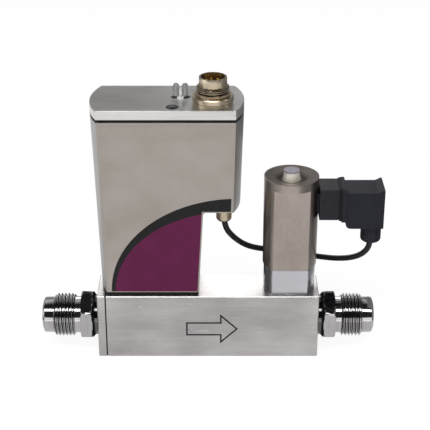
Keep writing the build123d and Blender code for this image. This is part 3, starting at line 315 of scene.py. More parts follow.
# %% Cards at the fittings
gas_line_z = 18.4
disc_x, disc_radius, disc_sides = 58.65, 12.5, 24
turns = [2 * pi * side / disc_sides for side in range(disc_sides)]
for side in (-1, 1):
    reflected_card("fitting_front", rectangle((side * 60, -70, 0), (side * 140, -70, 15)), 1.6)
    # The dark disc at the fitting's root is painted shade, standing for the shaded end face of the block
    rim = [(side * disc_x, disc_radius * cos(turn), gas_line_z + disc_radius * sin(turn)) for turn in turns]
    reflected_card("painted_shade_disc", rim, 0.01)
print("two cards at each fitting")

# %% [markdown]
# ## Surfaces
# Each surface starts as a plain physical one: its colour, whether it is metal, and how rough its
# finish is, which is also what a viewer without nodes can show. Then it gets what its making leaves
# behind. An image could be laid over it, but a noise that is measured in millimetres of the part
# itself needs no unwrapping, and a brush mark is as long on the bar as on the cap.

# %% Starting a surface


def new_surface(name, colour, metallic=0.0, roughness=0.5, **sockets):
    """A material with its principled shader set to plain values."""
    material = bpy.data.materials.new(name)
    material.use_nodes = True
    shader = material.node_tree.nodes["Principled BSDF"]
    shader.inputs["Base Color"].default_value = linear(colour)
    shader.inputs["Metallic"].default_value = metallic
    shader.inputs["Roughness"].default_value = roughness
    for socket, value in sockets.items():
        shader.inputs[socket.replace("_", " ")].default_value = value
    return material


def tree_and_shader(material):
    """The node tree of a material and its principled shader."""
    return material.node_tree, material.node_tree.nodes["Principled BSDF"]


def tint_over(material, share, tone, covers):
    """Lays a tone over what colours the material so far, where share is 1, or 0 with covers off."""
    tree, shader = tree_and_shader(material)
    so_far = shader.inputs["Base Color"].links[0].from_socket
    tone_side, other_side = (7, 6) if covers else (6, 7)
    over = add_node(
        tree, "ShaderNodeMix", {"data_type": "RGBA", tone_side: linear(tone)}, {0: share, other_side: so_far}
    )
    tree.links.new(over.outputs[2], shader.inputs["Base Color"])


print("surfaces start plain")

# %% [markdown]
# ## Marks of the making
# A tool leaves marks that are long one way and fine the other, and handling adds soft clouds. One
# layer of noise is one kind of mark: its cells per millimetre along X, Y and Z, how many finer
# octaves it has, how strong they are, and its share over the layers before it. The same pattern
# then drives the tone, the roughness and the height, because on a real surface they change together.

# %% Marks of the making
Layer = namedtuple("Layer", "per_mm octaves grit share", defaults=(3.0, 0.55, 1.0))
DENT_STRENGTH = 0.6


def noise_pattern(tree, layers):
    """Layers of noise laid over each other, as one grey value."""
    place = add_node(tree, "ShaderNodeTexCoord")
    pattern = None
    for layer in layers:
        cells = [count / mm for count in layer.per_mm]
        scaled = add_node(tree, "ShaderNodeMapping", {"Scale": cells}, {"Vector": place.outputs["Object"]})
        settings = {"Scale": 1.0, "Detail": layer.octaves, "Roughness": layer.grit}
        noise = add_node(tree, "ShaderNodeTexNoise", settings, {"Vector": scaled.outputs[0]}).outputs[0]
        if pattern:
            links = {2: pattern, 3: noise}
            noise = add_node(tree, "ShaderNodeMix", {"data_type": "FLOAT", 0: layer.share}, links).outputs[0]
        pattern = noise
    return pattern


def mark_surface(material, layers, tones, roughnesses, depth_mm=0.0, reach=(0.35, 0.65)):
    """Lets a pattern run between two tones and two roughnesses, and dent the surface by its depth."""
    tree, shader = tree_and_shader(material)
    pattern = noise_pattern(tree, layers)
    known = {"From Min": reach[0], "From Max": reach[1]}
    share = add_node(tree, "ShaderNodeMapRange", known, {"Value": pattern})
    tone_ends = {6: linear(tones[0]), 7: linear(tones[1])}
    mixed = add_node(tree, "ShaderNodeMix", {"data_type": "RGBA", **tone_ends}, {0: share.outputs[0]})
    tree.links.new(mixed.outputs[2], shader.inputs["Base Color"])
    rough_ends = {"To Min": roughnesses[0], "To Max": roughnesses[1]}
    rough = add_node(tree, "ShaderNodeMapRange", {**known, **rough_ends}, {"Value": pattern})
    tree.links.new(rough.outputs[0], shader.inputs["Roughness"])
    if depth_mm:
        settings = {"Strength": DENT_STRENGTH, "Distance": depth_mm * mm}
        dents = add_node(tree, "ShaderNodeBump", settings, {"Height": pattern})
        tree.links.new(dents.outputs[0], shader.inputs["Normal"])


print("a layer of marks has", ", ".join(Layer._fields))

# %% [markdown]
# ## Painted shade in grooves
# Little light reaches into thread roots and round a recess, so the metal there gets painted shade.
# A separate dark ring could be laid there, but a shade that depends on the distance from the axis
# darkens the groove itself and leaves the crests bright.

# %% Painted shade in grooves


def paint_groove_shade(material, centre, plane, radius, half_width, least=0.15):
    """Paints shade on the metal near one radius from an axis, down to its least share of unshaded metal."""
    tree = material.node_tree
    place = add_node(tree, "ShaderNodeTexCoord")
    split = add_node(tree, "ShaderNodeSeparateXYZ", {}, {0: place.outputs["Object"]})
    offsets = [
        add_node(tree, "ShaderNodeMath", {"operation": "SUBTRACT", 1: middle * mm}, {0: split.outputs[axis]})
        for axis, middle in zip(plane, centre)
    ]
    spoke = add_node(tree, "ShaderNodeCombineXYZ", {}, {0: offsets[0].outputs[0], 1: offsets[1].outputs[0]})
    distance = add_node(tree, "ShaderNodeVectorMath", {"operation": "LENGTH"}, {0: spoke.outputs[0]})
    off_root = add_node(
        tree, "ShaderNodeMath", {"operation": "SUBTRACT", 1: radius * mm}, {0: distance.outputs["Value"]}
    )
    off_root = add_node(tree, "ShaderNodeMath", {"operation": "ABSOLUTE"}, {0: off_root.outputs[0]})
    undarkened = add_node(
        tree, "ShaderNodeMapRange",
        {"interpolation_type": "SMOOTHSTEP", "From Max": half_width * mm, "To Min": least},
        {"Value": off_root.outputs[0]},
    )
    # The painted shade is this near black, laid over the groove
    tint_over(material, undarkened.outputs[0], "#171615", covers=False)


print("painted_groove_shade is", [round(c, 3) for c in linear("#171615")[:3]], "in linear light")

# %% [markdown]
# ## Brushed stainless bar
# The base is drawn bar stock with its faces linished along the bar. A belt leaves fine straight
# scratches, some of them deeper, and the steel keeps faint cloudy patches between them. The eye
# reads it as a soft grey with streaks, so colour, roughness and height all follow the same
# stretched noise. True scratches are hundredths of a millimetre wide; they are drawn some tenths
# wide here so that they show.

# %% Brushed stainless bar
linished_steel = new_surface("stainless_linished_bar", "#C9C6C3", 1.0, 0.34)
fine_scratches = Layer((0.1, 4.0, 4.0), 5, 0.7)
deep_scratches = Layer((0.02, 1.0, 1.0), share=0.35)
clouds = Layer((0.03, 0.07, 0.07), share=0.58)
mark_surface(
    linished_steel, [fine_scratches, deep_scratches, clouds],
    ("#A6A1A2", "#C6C4C2"), (0.28, 0.38), 0.012, (0.36, 0.62),
)
print(linished_steel.name, len(linished_steel.node_tree.nodes), "nodes")

# %% [markdown]
# ## Nicks and a joint on the bar
# Handling leaves short bright nicks along the brushing, 6 mm long and 0.6 mm wide at the most, and
# dirt settles in the joint between the end plate and the block, so it reads as a dark line. Both
# could be cut into the mesh, but they are too shallow to change its shape, so they are changes of
# tone. Only the highest peaks of a stretched noise become nicks, which keeps them far apart.

# %% Nicks on the bar
tree = linished_steel.node_tree
nick_marks = noise_pattern(tree, [Layer((0.16, 1.6, 1.6), 1)])
peaks = {"From Min": 0.71, "From Max": 0.8}
nicked = add_node(tree, "ShaderNodeMapRange", peaks, {"Value": nick_marks})
tint_over(linished_steel, nicked.outputs[0], "#DEDCDA", covers=True)
print("nicks on", linished_steel.name)

# %% Joint of the end plate
joint_x, joint_half = -52.45 * mm, 0.28 * mm
place = add_node(tree, "ShaderNodeTexCoord")
along = add_node(tree, "ShaderNodeSeparateXYZ", {}, {0: place.outputs["Object"]})
offset = add_node(tree, "ShaderNodeMath", {"operation": "SUBTRACT", 1: joint_x}, {0: along.outputs["X"]})
nearness = add_node(tree, "ShaderNodeMath", {"operation": "ABSOLUTE"}, {0: offset.outputs[0]})
soft_edge = {"From Min": joint_half * 0.6, "From Max": joint_half * 1.4}
undarkened = add_node(tree, "ShaderNodeMapRange", soft_edge, {0: nearness.outputs[0]})
tint_over(linished_steel, undarkened.outputs[0], "#2B2725", covers=False)
print("joint line at x", round(joint_x / mm, 2), "mm")

# %% [markdown]
# ## Turned stainless
# The fittings are turned from polished hexagon bar. A tool leaves very fine rings, so the finish is
# nearly a mirror, and the room shows in it as long bands. The rings run round the gas line on the
# fittings and round the valve's own axis on the valve, so each gets a pattern along its axis only.
# Real feed marks are some hundredths of a millimetre apart; here they are 0.3 to 0.8 mm apart.

# %% Turned stainless
# Bright turned: a near mirror with faint rings, and painted shade in the thread roots
turned_steel = new_surface("stainless_turned_bright", "#CFCDCB", 1.0, 0.1)
turned_layers = [Layer((3.0, 0.02, 0.02), 4), Layer((0.08, 0.1, 0.1), 2, share=0.4)]
mark_surface(turned_steel, turned_layers, ("#ACAAAA", "#C5C3C3"), (0.06, 0.14), 0.004)
paint_groove_shade(turned_steel, (0, gas_line_z), "YZ", radius=10.3, half_width=0.55)

# Satin turned: an even, slightly blue grey that hardly shows its rings
valve_steel = new_surface("stainless_turned_satin", "#C4C4C9", 1.0, 0.28)
satin_layers = [Layer((0.01, 0.01, 1.2), 2), Layer((0.05, 0.05, 0.05), 1, share=0.6)]
mark_surface(valve_steel, satin_layers, ("#C2C2C8", "#C8C8CD"), (0.27, 0.29))

# Rolled screws: darker, with a fine uneven grain
screw_steel = new_surface("stainless_screw", "#A9A9AB", 1.0, 0.3)
mark_surface(screw_steel, [Layer((1.5, 1.5, 1.5))], ("#98989A", "#B4B4B6"), (0.24, 0.4), 0.01)

# Sintered steel: pressed grains of 0.25 mm that look like dull sand
sintered_steel = new_surface("stainless_sintered", "#8D8A86", 1.0, 0.6)
mark_surface(sintered_steel, [Layer((4, 4, 4), 2)], ("#6F6C69", "#A19E9A"), (0.5, 0.75), 0.08)
print("five steels with the bar")

# %% [markdown]
# ## Nickel plate
# The coil's can and the round connector are nickel plated. Over steel that was only turned and
# milled, nickel stays satin, and its colour is a warm grey. Over fine-turned brass, as on the
# connector, it is brighter and nearer to champagne.

# %% Nickel plate
can_axis, connector_axis = (41.7, 0), (2.6, 0)

# Satin nickel: warm grey with faint upright mill marks; painted shade in the dish round the nut and along
# its step
can_nickel = new_surface("nickel_plated_steel_satin", "#A89F96", 1.0, 0.33)
can_layers = [Layer((1.6, 1.6, 0.3), 4), Layer((0.06, 0.06, 0.04), 2, share=0.6)]
mark_surface(can_nickel, can_layers, ("#A1968E", "#B1A8A1"), (0.28, 0.35))
paint_groove_shade(can_nickel, can_axis, "XY", radius=6.2, half_width=2.3, least=0.3)
paint_groove_shade(can_nickel, can_axis, "XY", radius=8.1, half_width=0.3, least=0.45)

# Bright nickel: champagne and smooth, with rings 0.3 mm apart and painted shade in the thread roots
connector_nickel = new_surface("nickel_plated_brass_bright", "#BDB3A2", 1.0, 0.16)
shell_layers = [Layer((0.05, 0.05, 3)), Layer((0.3, 0.3, 0.3), 2, share=0.5)]
mark_surface(connector_nickel, shell_layers, ("#BDAE96", "#C9BBA5"), (0.24, 0.28))
paint_groove_shade(connector_nickel, connector_axis, "XY", radius=7.55, half_width=0.35)
print("two nickel plates")

# %% [markdown]
# ## Zinc, gold and tin
# Thin plates keep the shape of the metal under them and change its colour. Zinc on the coil's nut
# is pale and milky, gold on the pins is deep yellow, and tin on the terminal blades is a soft warm
# white. The wire of the coil isn't plated but enamelled, so it gets a clear coat over copper.

# %% Zinc, gold and tin
# Satin zinc: milky and pale, half way to a paint, so it stays light among dark reflections
nut_zinc = new_surface("steel_zinc_plated_satin", "#EDE7DA", 0.45, 0.45)
mark_surface(nut_zinc, [Layer((0.2, 0.2, 0.4), 1)], ("#EAE4D6", "#F4EFE4"), (0.42, 0.5))

# Flash of gold: deep yellow that still shows inside the dark shell
gold_flash = new_surface("gold_flash_on_brass", "#F3CB62", 0.7, 0.3)
mark_surface(gold_flash, [Layer((0.5, 0.5, 2))], ("#F0BC48", "#FFDD84"), (0.24, 0.36))

# Tin: a soft warm white with faint lines along the blade
tinned_brass = new_surface("tinned_brass_blade", "#C9C5B8", 1.0, 0.3)
mark_surface(tinned_brass, [Layer((0.3, 2, 2))], ("#B6B1A2", "#D6D2C7"), (0.25, 0.4))

# Enamelled copper: red brown turns of wire, drawn 0.3 mm apart, under a clear glossy coat
winding_wire = new_surface("enamelled_copper_wire", "#9C4F2C", 0.8, 0.3, Coat_Weight=0.6)
mark_surface(winding_wire, [Layer((0.02, 0.02, 3.5), 0)], ("#7A3A1F", "#C07850"), (0.25, 0.4), 0.1)
print("four thin plates and coats")

# %% [markdown]
# ## Cap and housing
# Cap and housing are aluminium, fine milled and then satin anodised. The milling runs along the cap
# and up the housing in faint lines. Anodising dulls the metal to an even grey that still takes the
# light of the room, so the front edge shines while the top stays mid grey.

# %% Satin anodised aluminium
# Cap: a light even grey with hairlines along X, some 0.6 mm apart so that they show
cap_aluminium = new_surface("aluminium_satin_anodised_cap", "#D2D0CE", 1.0, 0.36)
cap_layers = [Layer((0.03, 1.6, 1.6), 4, 0.65), Layer((0.04, 0.1, 0.1), 2, share=0.45)]
mark_surface(cap_aluminium, cap_layers, ("#D0CECC", "#E6E4E2"), (0.3, 0.4), 0.008)

# Housing: darker and a little rougher, with upright hairlines some 0.8 mm apart
housing_aluminium = new_surface("aluminium_satin_anodised_housing", "#B9B7B6", 1.0, 0.42)
housing_layers = [Layer((1.2, 1.2, 0.04), 4, 0.65), Layer((0.06, 0.06, 0.03), 2, share=0.5)]
mark_surface(housing_aluminium, housing_layers, ("#A8A6A5", "#C6C4C3"), (0.36, 0.48), 0.012)

# Disc on the coil's nut: a pale violet lacquer that hides the metal under it
disc_lacquer = new_surface("lacquered_steel_disc", "#9A93A3", 0.2, 0.4)
mark_surface(disc_lacquer, [Layer((1.2, 1.2, 1.2))], ("#928B9B", "#A49DAC"), (0.35, 0.5), 0.01)
print("cap, housing and disc")

# %% [markdown]
# ## Front of the housing
# Warm foil covers the front face almost to its edges, and the rim of metal round it takes its tone.
# The rim could be a piece of its own, but a tone that depends on which way the face looks is enough,
# and it stops at the edge of the face by itself.

# %% Front of the housing
tree = housing_aluminium.node_tree
place = add_node(tree, "ShaderNodeTexCoord")
facing = add_node(tree, "ShaderNodeSeparateXYZ", {}, {0: place.outputs["Normal"]})
front = add_node(
    tree, "ShaderNodeMapRange", {"From Min": -0.9, "From Max": -0.98}, {"Value": facing.outputs["Y"]}
)
tint_over(housing_aluminium, front.outputs[0], "#ADA69F", covers=True)
print(housing_aluminium.name, len(tree.nodes), "nodes")

# %% [markdown]
# ## Label
# The label is satin silver foil, printed with a black band and a purple field and left without
# words. Foil is metal, so it takes its warm grey from the room; screen ink lies on it as a thin
# satin plastic.

# %% Foil and inks
# Foil: a warm silver with soft clouds and a faint grain along X
silver_foil = new_surface("label_foil_satin", "#C2BAB0", 1.0, 0.36)
foil_layers = [Layer((0.3, 1.5, 1.5), 4, 0.7), Layer((0.045, 0.06, 0.06), 2, share=0.75)]
mark_surface(silver_foil, foil_layers, ("#A69E94", "#B2AAA5"), (0.34, 0.4))

# Black ink: nearly matt, with the faint mottle of a printing screen, drawn 0.5 mm wide
black_ink = new_surface("screen_ink_black", "#141315", 0.0, 0.35, Specular_IOR_Level=0.25)
mark_surface(black_ink, [Layer((2, 2, 2))], ("#100F11", "#1C1B1D"), (0.3, 0.42), 0.008)

# Purple ink: deep and even, with slow changes of tone where the ink lies thicker
purple_ink = new_surface("screen_ink_purple", "#641A47", 0.0, 0.35, Specular_IOR_Level=0.2)
ink_layers = [Layer((2, 2, 2)), Layer((0.1, 0.1, 0.1), 2, share=0.5)]
mark_surface(purple_ink, ink_layers, ("#5E1741", "#6A1C4C"), (0.3, 0.4), 0.004)
print("foil and two inks")

# %% [markdown]
# ## Rubber and black plastics
# Gaskets are moulded rubber, the cable has a smooth PVC sheath, and the plug is glass-filled nylon
# with a fine spark-eroded grain. All are black, so the eye tells them apart by their sheen alone.
# Their grain is some hundredths of a millimetre wide in reality. It is drawn about half a
# millimetre wide so that it shows, and the sheath has only slow waves of 2.5 mm.

# %% Rubber and black plastics
# Moulded rubber: the dullest black, a little warm
gasket_rubber = new_surface("rubber_moulded_black", "#141315", 0.0, 0.6, Specular_IOR_Level=0.25)
mark_surface(gasket_rubber, [Layer((1.5, 1.5, 1.5))], ("#0F0E10", "#1B1A1D"), (0.5, 0.72), 0.03)

# PVC sheath: the deepest black, with a soft streak of light along the cable
cable_pvc = new_surface("pvc_sheath_black", "#131316", 0.0, 0.36, Specular_IOR_Level=0.35)
mark_surface(cable_pvc, [Layer((0.4, 0.4, 0.4))], ("#0E0E11", "#19191C"), (0.28, 0.44), 0.02)

# Spark-grained nylon: a cool charcoal that is grey where it turns up to the light
plug_nylon = new_surface("nylon_spark_grained_black", "#20202A", 0.0, 0.5, Specular_IOR_Level=0.18)
plug_layers = [Layer((2.2, 2.2, 2.2), 4, 0.7), Layer((0.12, 0.12, 0.12), 2, share=0.4)]
mark_surface(plug_nylon, plug_layers, ("#1F1F29", "#282832"), (0.46, 0.56), 0.02)

# Moulded nylon: the same cool black with a plainer, coarser grain
black_moulding = new_surface("nylon_moulded_black", "#202027", 0.0, 0.5, Specular_IOR_Level=0.25)
mark_surface(black_moulding, [Layer((1.8, 1.8, 1.8))], ("#1B1B22", "#26262E"), (0.44, 0.56), 0.03)
print("one rubber and three black plastics")

# %% [markdown]
# ## Other mouldings and the boards
# The connector's insert is a dark brown moulding, the bridge between the light guides is white, the
# light guides are clear acrylic, and the boards inside are covered with green solder resist.

# %% Other mouldings and the boards
# Brown polyester: so dark that it reads as the shade round the gold pins
brown_moulding = new_surface("polyester_moulded_brown", "#2A1A13", 0.0, 0.45)
mark_surface(brown_moulding, [Layer((1.8, 1.8, 1.8))], ("#21140E", "#2F1F18"), (0.4, 0.55), 0.02)

# White polycarbonate: light sinks in a little, so its edges look soft
white_moulding = new_surface("polycarbonate_moulded_white", "#E6E6E2", 0.0, 0.4, Subsurface_Weight=0.1)
mark_surface(white_moulding, [Layer((1.2, 1.2, 1.2))], ("#DEDEDA", "#EEEEEA"), (0.34, 0.46), 0.01)

# Clear acrylic: it bends what is behind it and shows a bright rim
clear_acrylic = new_surface("acrylic_clear", "#F2F5F3", 0.0, 0.05, IOR=1.49, Transmission_Weight=1.0)
mark_surface(clear_acrylic, [Layer((0.6, 0.6, 0.6))], ("#EDF1EF", "#F8FAF9"), (0.03, 0.09), 0.01)

# Solder resist: a glossy green skin with the copper tracks faintly raised under it
solder_resist = new_surface("solder_resist_green", "#1C5638", 0.0, 0.3, Coat_Weight=0.4)
mark_surface(solder_resist, [Layer((0.5, 4, 0.5), 1)], ("#17492F", "#2A6E4A"), (0.25, 0.4), 0.03)
print(len(bpy.data.materials), "materials so far")

# %% [markdown]
# ## Give every CAD piece its surface
# The record names a material slot for every piece. Each piece could be dressed by its name, but one
# table from slot to surface dresses them all, and a new piece needs no new line.

# %% Dress the CAD pieces
finishes = {
    "brushed_stainless": linished_steel,
    "turned_stainless": turned_steel,
    "valve_stainless": valve_steel,
    "screw_steel": screw_steel,
    "sintered_steel": sintered_steel,
    "can_steel": can_nickel,
    "nut_steel": nut_zinc,
    "nut_disc": disc_lacquer,
    "nickel_plate": connector_nickel,
    "gold_plate": gold_flash,
    "tinned_brass": tinned_brass,
    "copper_wire": winding_wire,
    "housing_aluminium": housing_aluminium,
    "cap_aluminium": cap_aluminium,
    "silver_foil": silver_foil,
    "black_print": black_ink,
    "purple_print": purple_ink,
    "black_rubber": gasket_rubber,
    "black_moulding": black_moulding,
    "plug_moulding": plug_nylon,
    "brown_moulding": brown_moulding,
    "white_moulding": white_moulding,
    "clear_moulding": clear_acrylic,
    "cable_sheath": cable_pvc,
    "circuit_board": solder_resist,
}
slot_of = {part["node"]: part["material_slot"] for part in frame["record"]["subparts"]}
for name, piece in nodes.items():
    piece.data.materials.clear()
    piece.data.materials.append(finishes[slot_of[name]])
print("dressed", len(nodes), "pieces in", len(set(slot_of.values())), "finishes")

# %% [markdown]
# ## Broken edges
# No real edge is perfectly sharp: a tool or a mould leaves a fine radius, and the eye reads the thin
# line of light that it catches. The meshes could be cut again with rounded edges, but the CAD shapes
# stay as they are; modifiers join their triangles into flat faces and round the edges between them
# by a tenth or two of a millimetre.

# %% Break the edges
# Each piece: radius in millimetres, and the least angle in degrees that counts as an edge
edges = {
    "valve_base": (0.15, 35),
    "terminal_base": (0.2, 35),
    "plug_gasket": (0.2, 35),
    "plug_hood": (0.25, 35),
    "plug_insert": (0.1, 35),
    "housing": (0.15, 35),
    "coil_nut": (0.2, 20),
    "gland_body": (0.12, 35),
}
flat_within = radians(0.5)
for name, (radius, least_angle) in edges.items():
    piece = nodes[name]
    weld = piece.modifiers.new("join_triangles", "WELD")
    weld.merge_threshold = 0.001 * mm
    flatten = piece.modifiers.new("flat_faces", "DECIMATE")
    flatten.decimate_type = "DISSOLVE"
    flatten.angle_limit = flat_within
    bevel = piece.modifiers.new("broken_edge", "BEVEL")
    bevel.width = radius * mm
    bevel.segments = 2
    bevel.limit_method = "ANGLE"
    bevel.angle_limit = radians(least_angle)
    bevel.harden_normals = True
print("edges broken on", len(edges), "pieces")

# %% [markdown]
# ## Turned outlines
# A turned piece is a row of rings about an axis, each with its place along the axis and its radius
# in millimetres. A screw or a lathe modifier could sweep one outline, but rings can also be hexagons
# and parts of a thread, so all of them join into one closed mesh.

# %% Plain and hexagon rings
SIDES = 96


def plain_ring(along, radius):
    """A ring round the axis at one place."""
    return [(along, radius)] * (SIDES + 1)


def plain_rings(*places):
    """Plain rings at several (along, radius) places."""
    return [plain_ring(along, radius) for along, radius in places]


def hexagon_ring(along, flats, largest):
    """A ring of a hexagon bar, cut down to the largest radius by a turned corner."""
    ring = []
    for side in range(SIDES + 1):
        angle = 2 * pi * side / SIDES
        ring.append((along, min(flats / 2 / cos(angle % (pi / 3) - pi / 6), largest)))
    return ring


print("rings have", SIDES, "sides")

# %% Turning a piece from rings
weld_within, sharp_from = 0.002 * mm, radians(35)


def turned_piece(name, origin, axis, up, rings, material):
    """A closed turned mesh from rings of (along, radius) in millimetres about an axis."""
    origin, axis, up = Vector(origin), Vector(axis), Vector(up)
    across = axis.cross(up)
    turned = bmesh.new()
    rows = []
    for ring in rings + rings[:1]:
        row = []
        for side, (along, radius) in enumerate(ring):
            angle = 2 * pi * side / SIDES
            spoke = up * cos(angle) + across * sin(angle)
            row.append(turned.verts.new((origin + axis * along + spoke * radius) * mm))
        rows.append(row)
    for row, after in zip(rows, rows[1:]):
        for side in range(SIDES):
            turned.faces.new((row[side], row[side + 1], after[side + 1], after[side]))
    bmesh.ops.remove_doubles(turned, verts=turned.verts, dist=weld_within)
    bmesh.ops.dissolve_degenerate(turned, edges=turned.edges, dist=weld_within / 2)
    bmesh.ops.recalc_face_normals(turned, faces=turned.faces)
    mesh = bpy.data.meshes.new(name)
    turned.to_mesh(mesh)
    turned.free()
    mesh.shade_smooth()
    mesh.set_sharp_from_angle(angle=sharp_from)
    mesh.materials.append(material)
    piece = bpy.data.objects.new(name, mesh)
    bpy.context.scene.collection.objects.link(piece)
    return piece


print("points closer than", weld_within / mm, "mm are joined")

# %% [markdown]
# ## Screw threads
# The gas fittings carry a 7/8-14 thread and the connector a fine metric one. A thread could be a bump
# pattern, but its teeth show against the background, so it has to be real shape. A thread is a
# tooth outline that moves along the axis by one pitch per turn. Each ring of points below starts a
# little further along the pitch than the last one and climbs by a whole pitch as it goes round, so
# the crests come out as true helices. At both ends the tooth runs out into the core.

# %% Thread rings
CREST_HALF, FLANK = 0.07, 0.36  # of a pitch
RUN_OUT_SLOPE = 1.4


def thread_rings(start, end, pitch, crest, depth, foot, steps=12):
    """Rings of a right-hand thread between start and end, running out to radius foot at both ends."""
    rings = [plain_ring(start, foot)]
    for step in range(1, round(((end - start) / pitch + 1) * steps)):
        away = abs((step / steps + 0.5) % 1 - 0.5)
        tooth = crest - depth * min(max((away - CREST_HALF) / FLANK, 0), 1)
        ring = []
        for side in range(SIDES + 1):
            along = start + pitch * (step / steps - 1 + side / SIDES)
            inside = min(along - start, end - along)
            radius = min(tooth, foot + inside * RUN_OUT_SLOPE) if inside > 0 else foot
            ring.append((min(max(along, start), end), radius))
        rings.append(ring)
    return rings + [plain_ring(end, foot)]


print("a tooth is flat on", round(2 * CREST_HALF, 2), "of its pitch")

# %% [markdown]
# ## Face-seal fittings
# A fitting is one piece of hexagon bar: a shank in the base, a neck, the hexagon with its turned
# corners, a relief groove, the thread, and a nose with a rounded bead that presses into the gasket.
# Both fittings are alike and point opposite ways, so one outline makes them both.

# %% Outline of a fitting
bead_place, bead_radius, bead_height, bead_half = 28.6, 7.05, 0.5, 0.6


def fitting_rings():
    """The outline of one fitting from its shank to its bore, along its own axis."""
    flats = 23.8
    corner, low = flats / 2 / cos(pi / 6), flats / 2 + 0.2
    rings = plain_rings((-10, 5.1), (-10, 8), (0, 8), (0, 10.4), (2, 10.4))
    hexagon = (
        (2.0, 10.5), (2.4, 11.2), (2.8, 11.88), (3.2, 12.57), (3.6, 13.26), (4.0, corner + 0.1),
        (8.1, corner + 0.1), (8.5, low + 1.1), (8.8, low + 0.6), (9.1, low),
    )
    rings += [hexagon_ring(along, flats, largest) for along, largest in hexagon]
    rings += plain_rings((9.1, 9.7), (9.35, 9.45), (12.2, 9.45), (12.2, 9.6))
    rings += thread_rings(12.3, 23.0, 1.814, 11.1, 1.15, 9.9)
    rings += plain_rings((23.0, 9.2), (23.3, 9.2), (23.4, 9.35), (27.6, 9.3), (28.2, 9.1), (28.55, 8.7))
    rings += plain_rings((bead_place, 7.7))
    for turn in range(7):
        angle = pi * turn / 6
        rings.append(plain_ring(bead_place + bead_height * sin(angle), bead_radius + bead_half * cos(angle)))
    return rings + plain_rings((bead_place, 5.4), (28.3, 5.1))


print(len(fitting_rings()), "rings in a fitting")

# %% Gas fittings
for end_name, place, heading in (("inlet", -56.75, -1), ("outlet", 56.75, 1)):
    fitting = turned_piece(
        end_name + "_face_seal_fitting", (place, 0, gas_line_z), (heading, 0, 0), (0, 0, 1),
        fitting_rings(), turned_steel,
    )
    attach(fitting, "controller")
    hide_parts(end_name + "_fitting")
    print(fitting.name, len(fitting.data.polygons), "faces")

# %% [markdown]
# ## Round connector
# The connector's shell is turned from brass. Its lower thread is held by the ring nut, the fine
# thread above it takes the cable's coupling, and the smooth barrel guides the plug over the pins.
# It is made as the fittings are, from its flange in the cap up to the mouth and down the bore.

# %% Connector shell
flange = plain_rings((129.5, 5.0), (129.5, 9.4), (131.5, 9.4), (131.5, 8.7), (140.1, 8.7), (140.1, 8.3))
nut_thread = thread_rings(140.15, 141.6, 0.75, 8.7, 0.45, 8.2)
coupling_thread = thread_rings(141.7, 144.8, 0.9, 8.0, 0.5, 7.35)
barrel = plain_rings((144.9, 7.2), (144.9, 6.8), (148.9, 6.8), (149.12, 6.68), (149.2, 6.45))
mouth_and_bore = plain_rings((149.2, 5.95), (149.1, 5.85), (133.0, 5.85), (133.0, 5.0))
shell_rings = flange + nut_thread + [plain_ring(141.6, 7.5)] + coupling_thread + barrel + mouth_and_bore
shell = turned_piece(
    "connector_body", (*connector_axis, 0), (0, 0, 1), (0, -1, 0), shell_rings, connector_nickel
)
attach(shell, "controller")
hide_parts("connector_shell")
print(shell.name, len(shell.data.polygons), "faces")

# %% [markdown]
# ## Rings round the button
# The set-up button sits in a recess with a thin rubber seal and, inside that, a steel eyelet. Both
# are rings with a round section. A torus would do for either, but they are turned from rings like
# the fittings, so no new tool is needed.

# %% Button rings
button_axis = (-16.9, -6.9)
section_steps = 12
for name, radius, section, height, paint, slot in (
    ("button_seal", 2.88, 0.22, 135.95, gasket_rubber, "black_rubber"),
    ("button_eyelet", 2.45, 0.18, 135.75, screw_steel, "screw_steel"),
):
    outline = []
    for turn in range(section_steps):
        angle = 2 * pi * turn / section_steps
        outline.append(plain_ring(height + section * sin(angle), radius + section * cos(angle)))
    ring = turned_piece(name, (*button_axis, 0), (0, 0, 1), (0, -1, 0), outline, paint)
    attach(ring, "controller")
    print(ring.name, round(2 * (radius + section), 2), "mm across")

# %% [markdown]
# ## Bridge between the light guides
# A small white moulding holds the two light guides: a bar across them and a tongue behind it that
# stands a little proud. It could be one block, but the step between bar and tongue shows from
# above, so two blocks with soft edges make it up.

# %% Light guide bridge


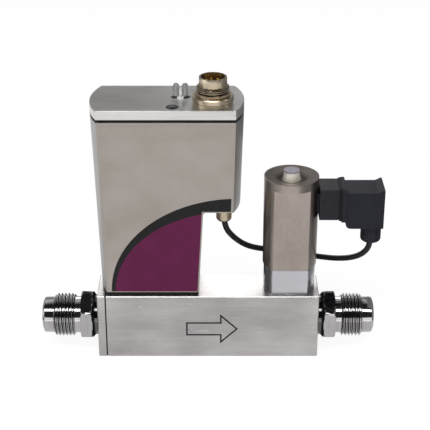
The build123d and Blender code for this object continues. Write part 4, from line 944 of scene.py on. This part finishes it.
def soft_block(name, blocks, radius, material):
    """One object from blocks of (low corner, high corner) in millimetres, with soft edges."""
    built = bmesh.new()
    for low, high in blocks:
        made = bmesh.ops.create_cube(built, size=1.0)
        for vert in made["verts"]:
            vert.co = [mm * (a if side < 0 else b) for a, b, side in zip(low, high, vert.co)]
    bmesh.ops.bevel(
        built, geom=built.edges[:], offset=radius * mm, segments=3, affect="EDGES", profile=0.5,
        clamp_overlap=True,
    )
    mesh = bpy.data.meshes.new(name)
    built.to_mesh(mesh)
    built.free()
    mesh.shade_smooth()
    mesh.materials.append(material)
    piece = bpy.data.objects.new(name, mesh)
    bpy.context.scene.collection.objects.link(piece)
    return piece


across_bar = ((-14.8, 4.3, 134.5), (-11.6, 5.7, 137.1))
tongue = ((-13.85, 5.6, 134.5), (-12.55, 9.5, 140.4))
bridge = soft_block("light_guide_bridge", [across_bar, tongue], 0.15, white_moulding)
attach(bridge, "controller")
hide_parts("lens_carrier")
print(bridge.name, len(bridge.data.polygons), "faces")

# %% [markdown]
# ## The cable
# The valve's cable is a soft lead, 3 mm thick and about 109 mm long. It drops out of the gland,
# swings behind the valve and turns up into the plug. Its line is one NURBS spline, whose control
# points pull a smooth curve towards them; a tube swept along straight runs would look like bent wire.

# %% Cable
cable_route = [
    (8.15, 2.0, 75.5),
    (8.15, 2.0, 69.0),
    (12.6, 4.9, 61.2),
    (20.3, 11.1, 52.7),
    (31.0, 16.8, 47.9),
    (43.8, 19.4, 45.1),
    (57.0, 15.6, 44.4),
    (68.6, 8.6, 46.6),
    (76.6, 3.3, 50.6),
    (80.8, 1.0, 54.9),
    (82.5, 0.0, 59.6),
    (82.5, 0.0, 64.6),
]
cable_curve = bpy.data.curves.new("valve_lead", "CURVE")
cable_curve.dimensions = "3D"
cable_curve.bevel_depth = 1.5 * mm
cable_curve.bevel_resolution = 6
cable_curve.resolution_u = 16
cable_curve.use_fill_caps = True
lead_line = cable_curve.splines.new("NURBS")
lead_line.points.add(len(cable_route) - 1)
for point, place in zip(lead_line.points, cable_route):
    point.co = (*[size * mm for size in place], 1)
lead_line.order_u = 3
lead_line.use_endpoint_u = True
cable_curve.materials.append(cable_pvc)
lead = bpy.data.objects.new("valve_lead", cable_curve)
bpy.context.scene.collection.objects.link(lead)
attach(lead, "controller")
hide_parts("valve_cable")
print("cable through", len(cable_route), "points")
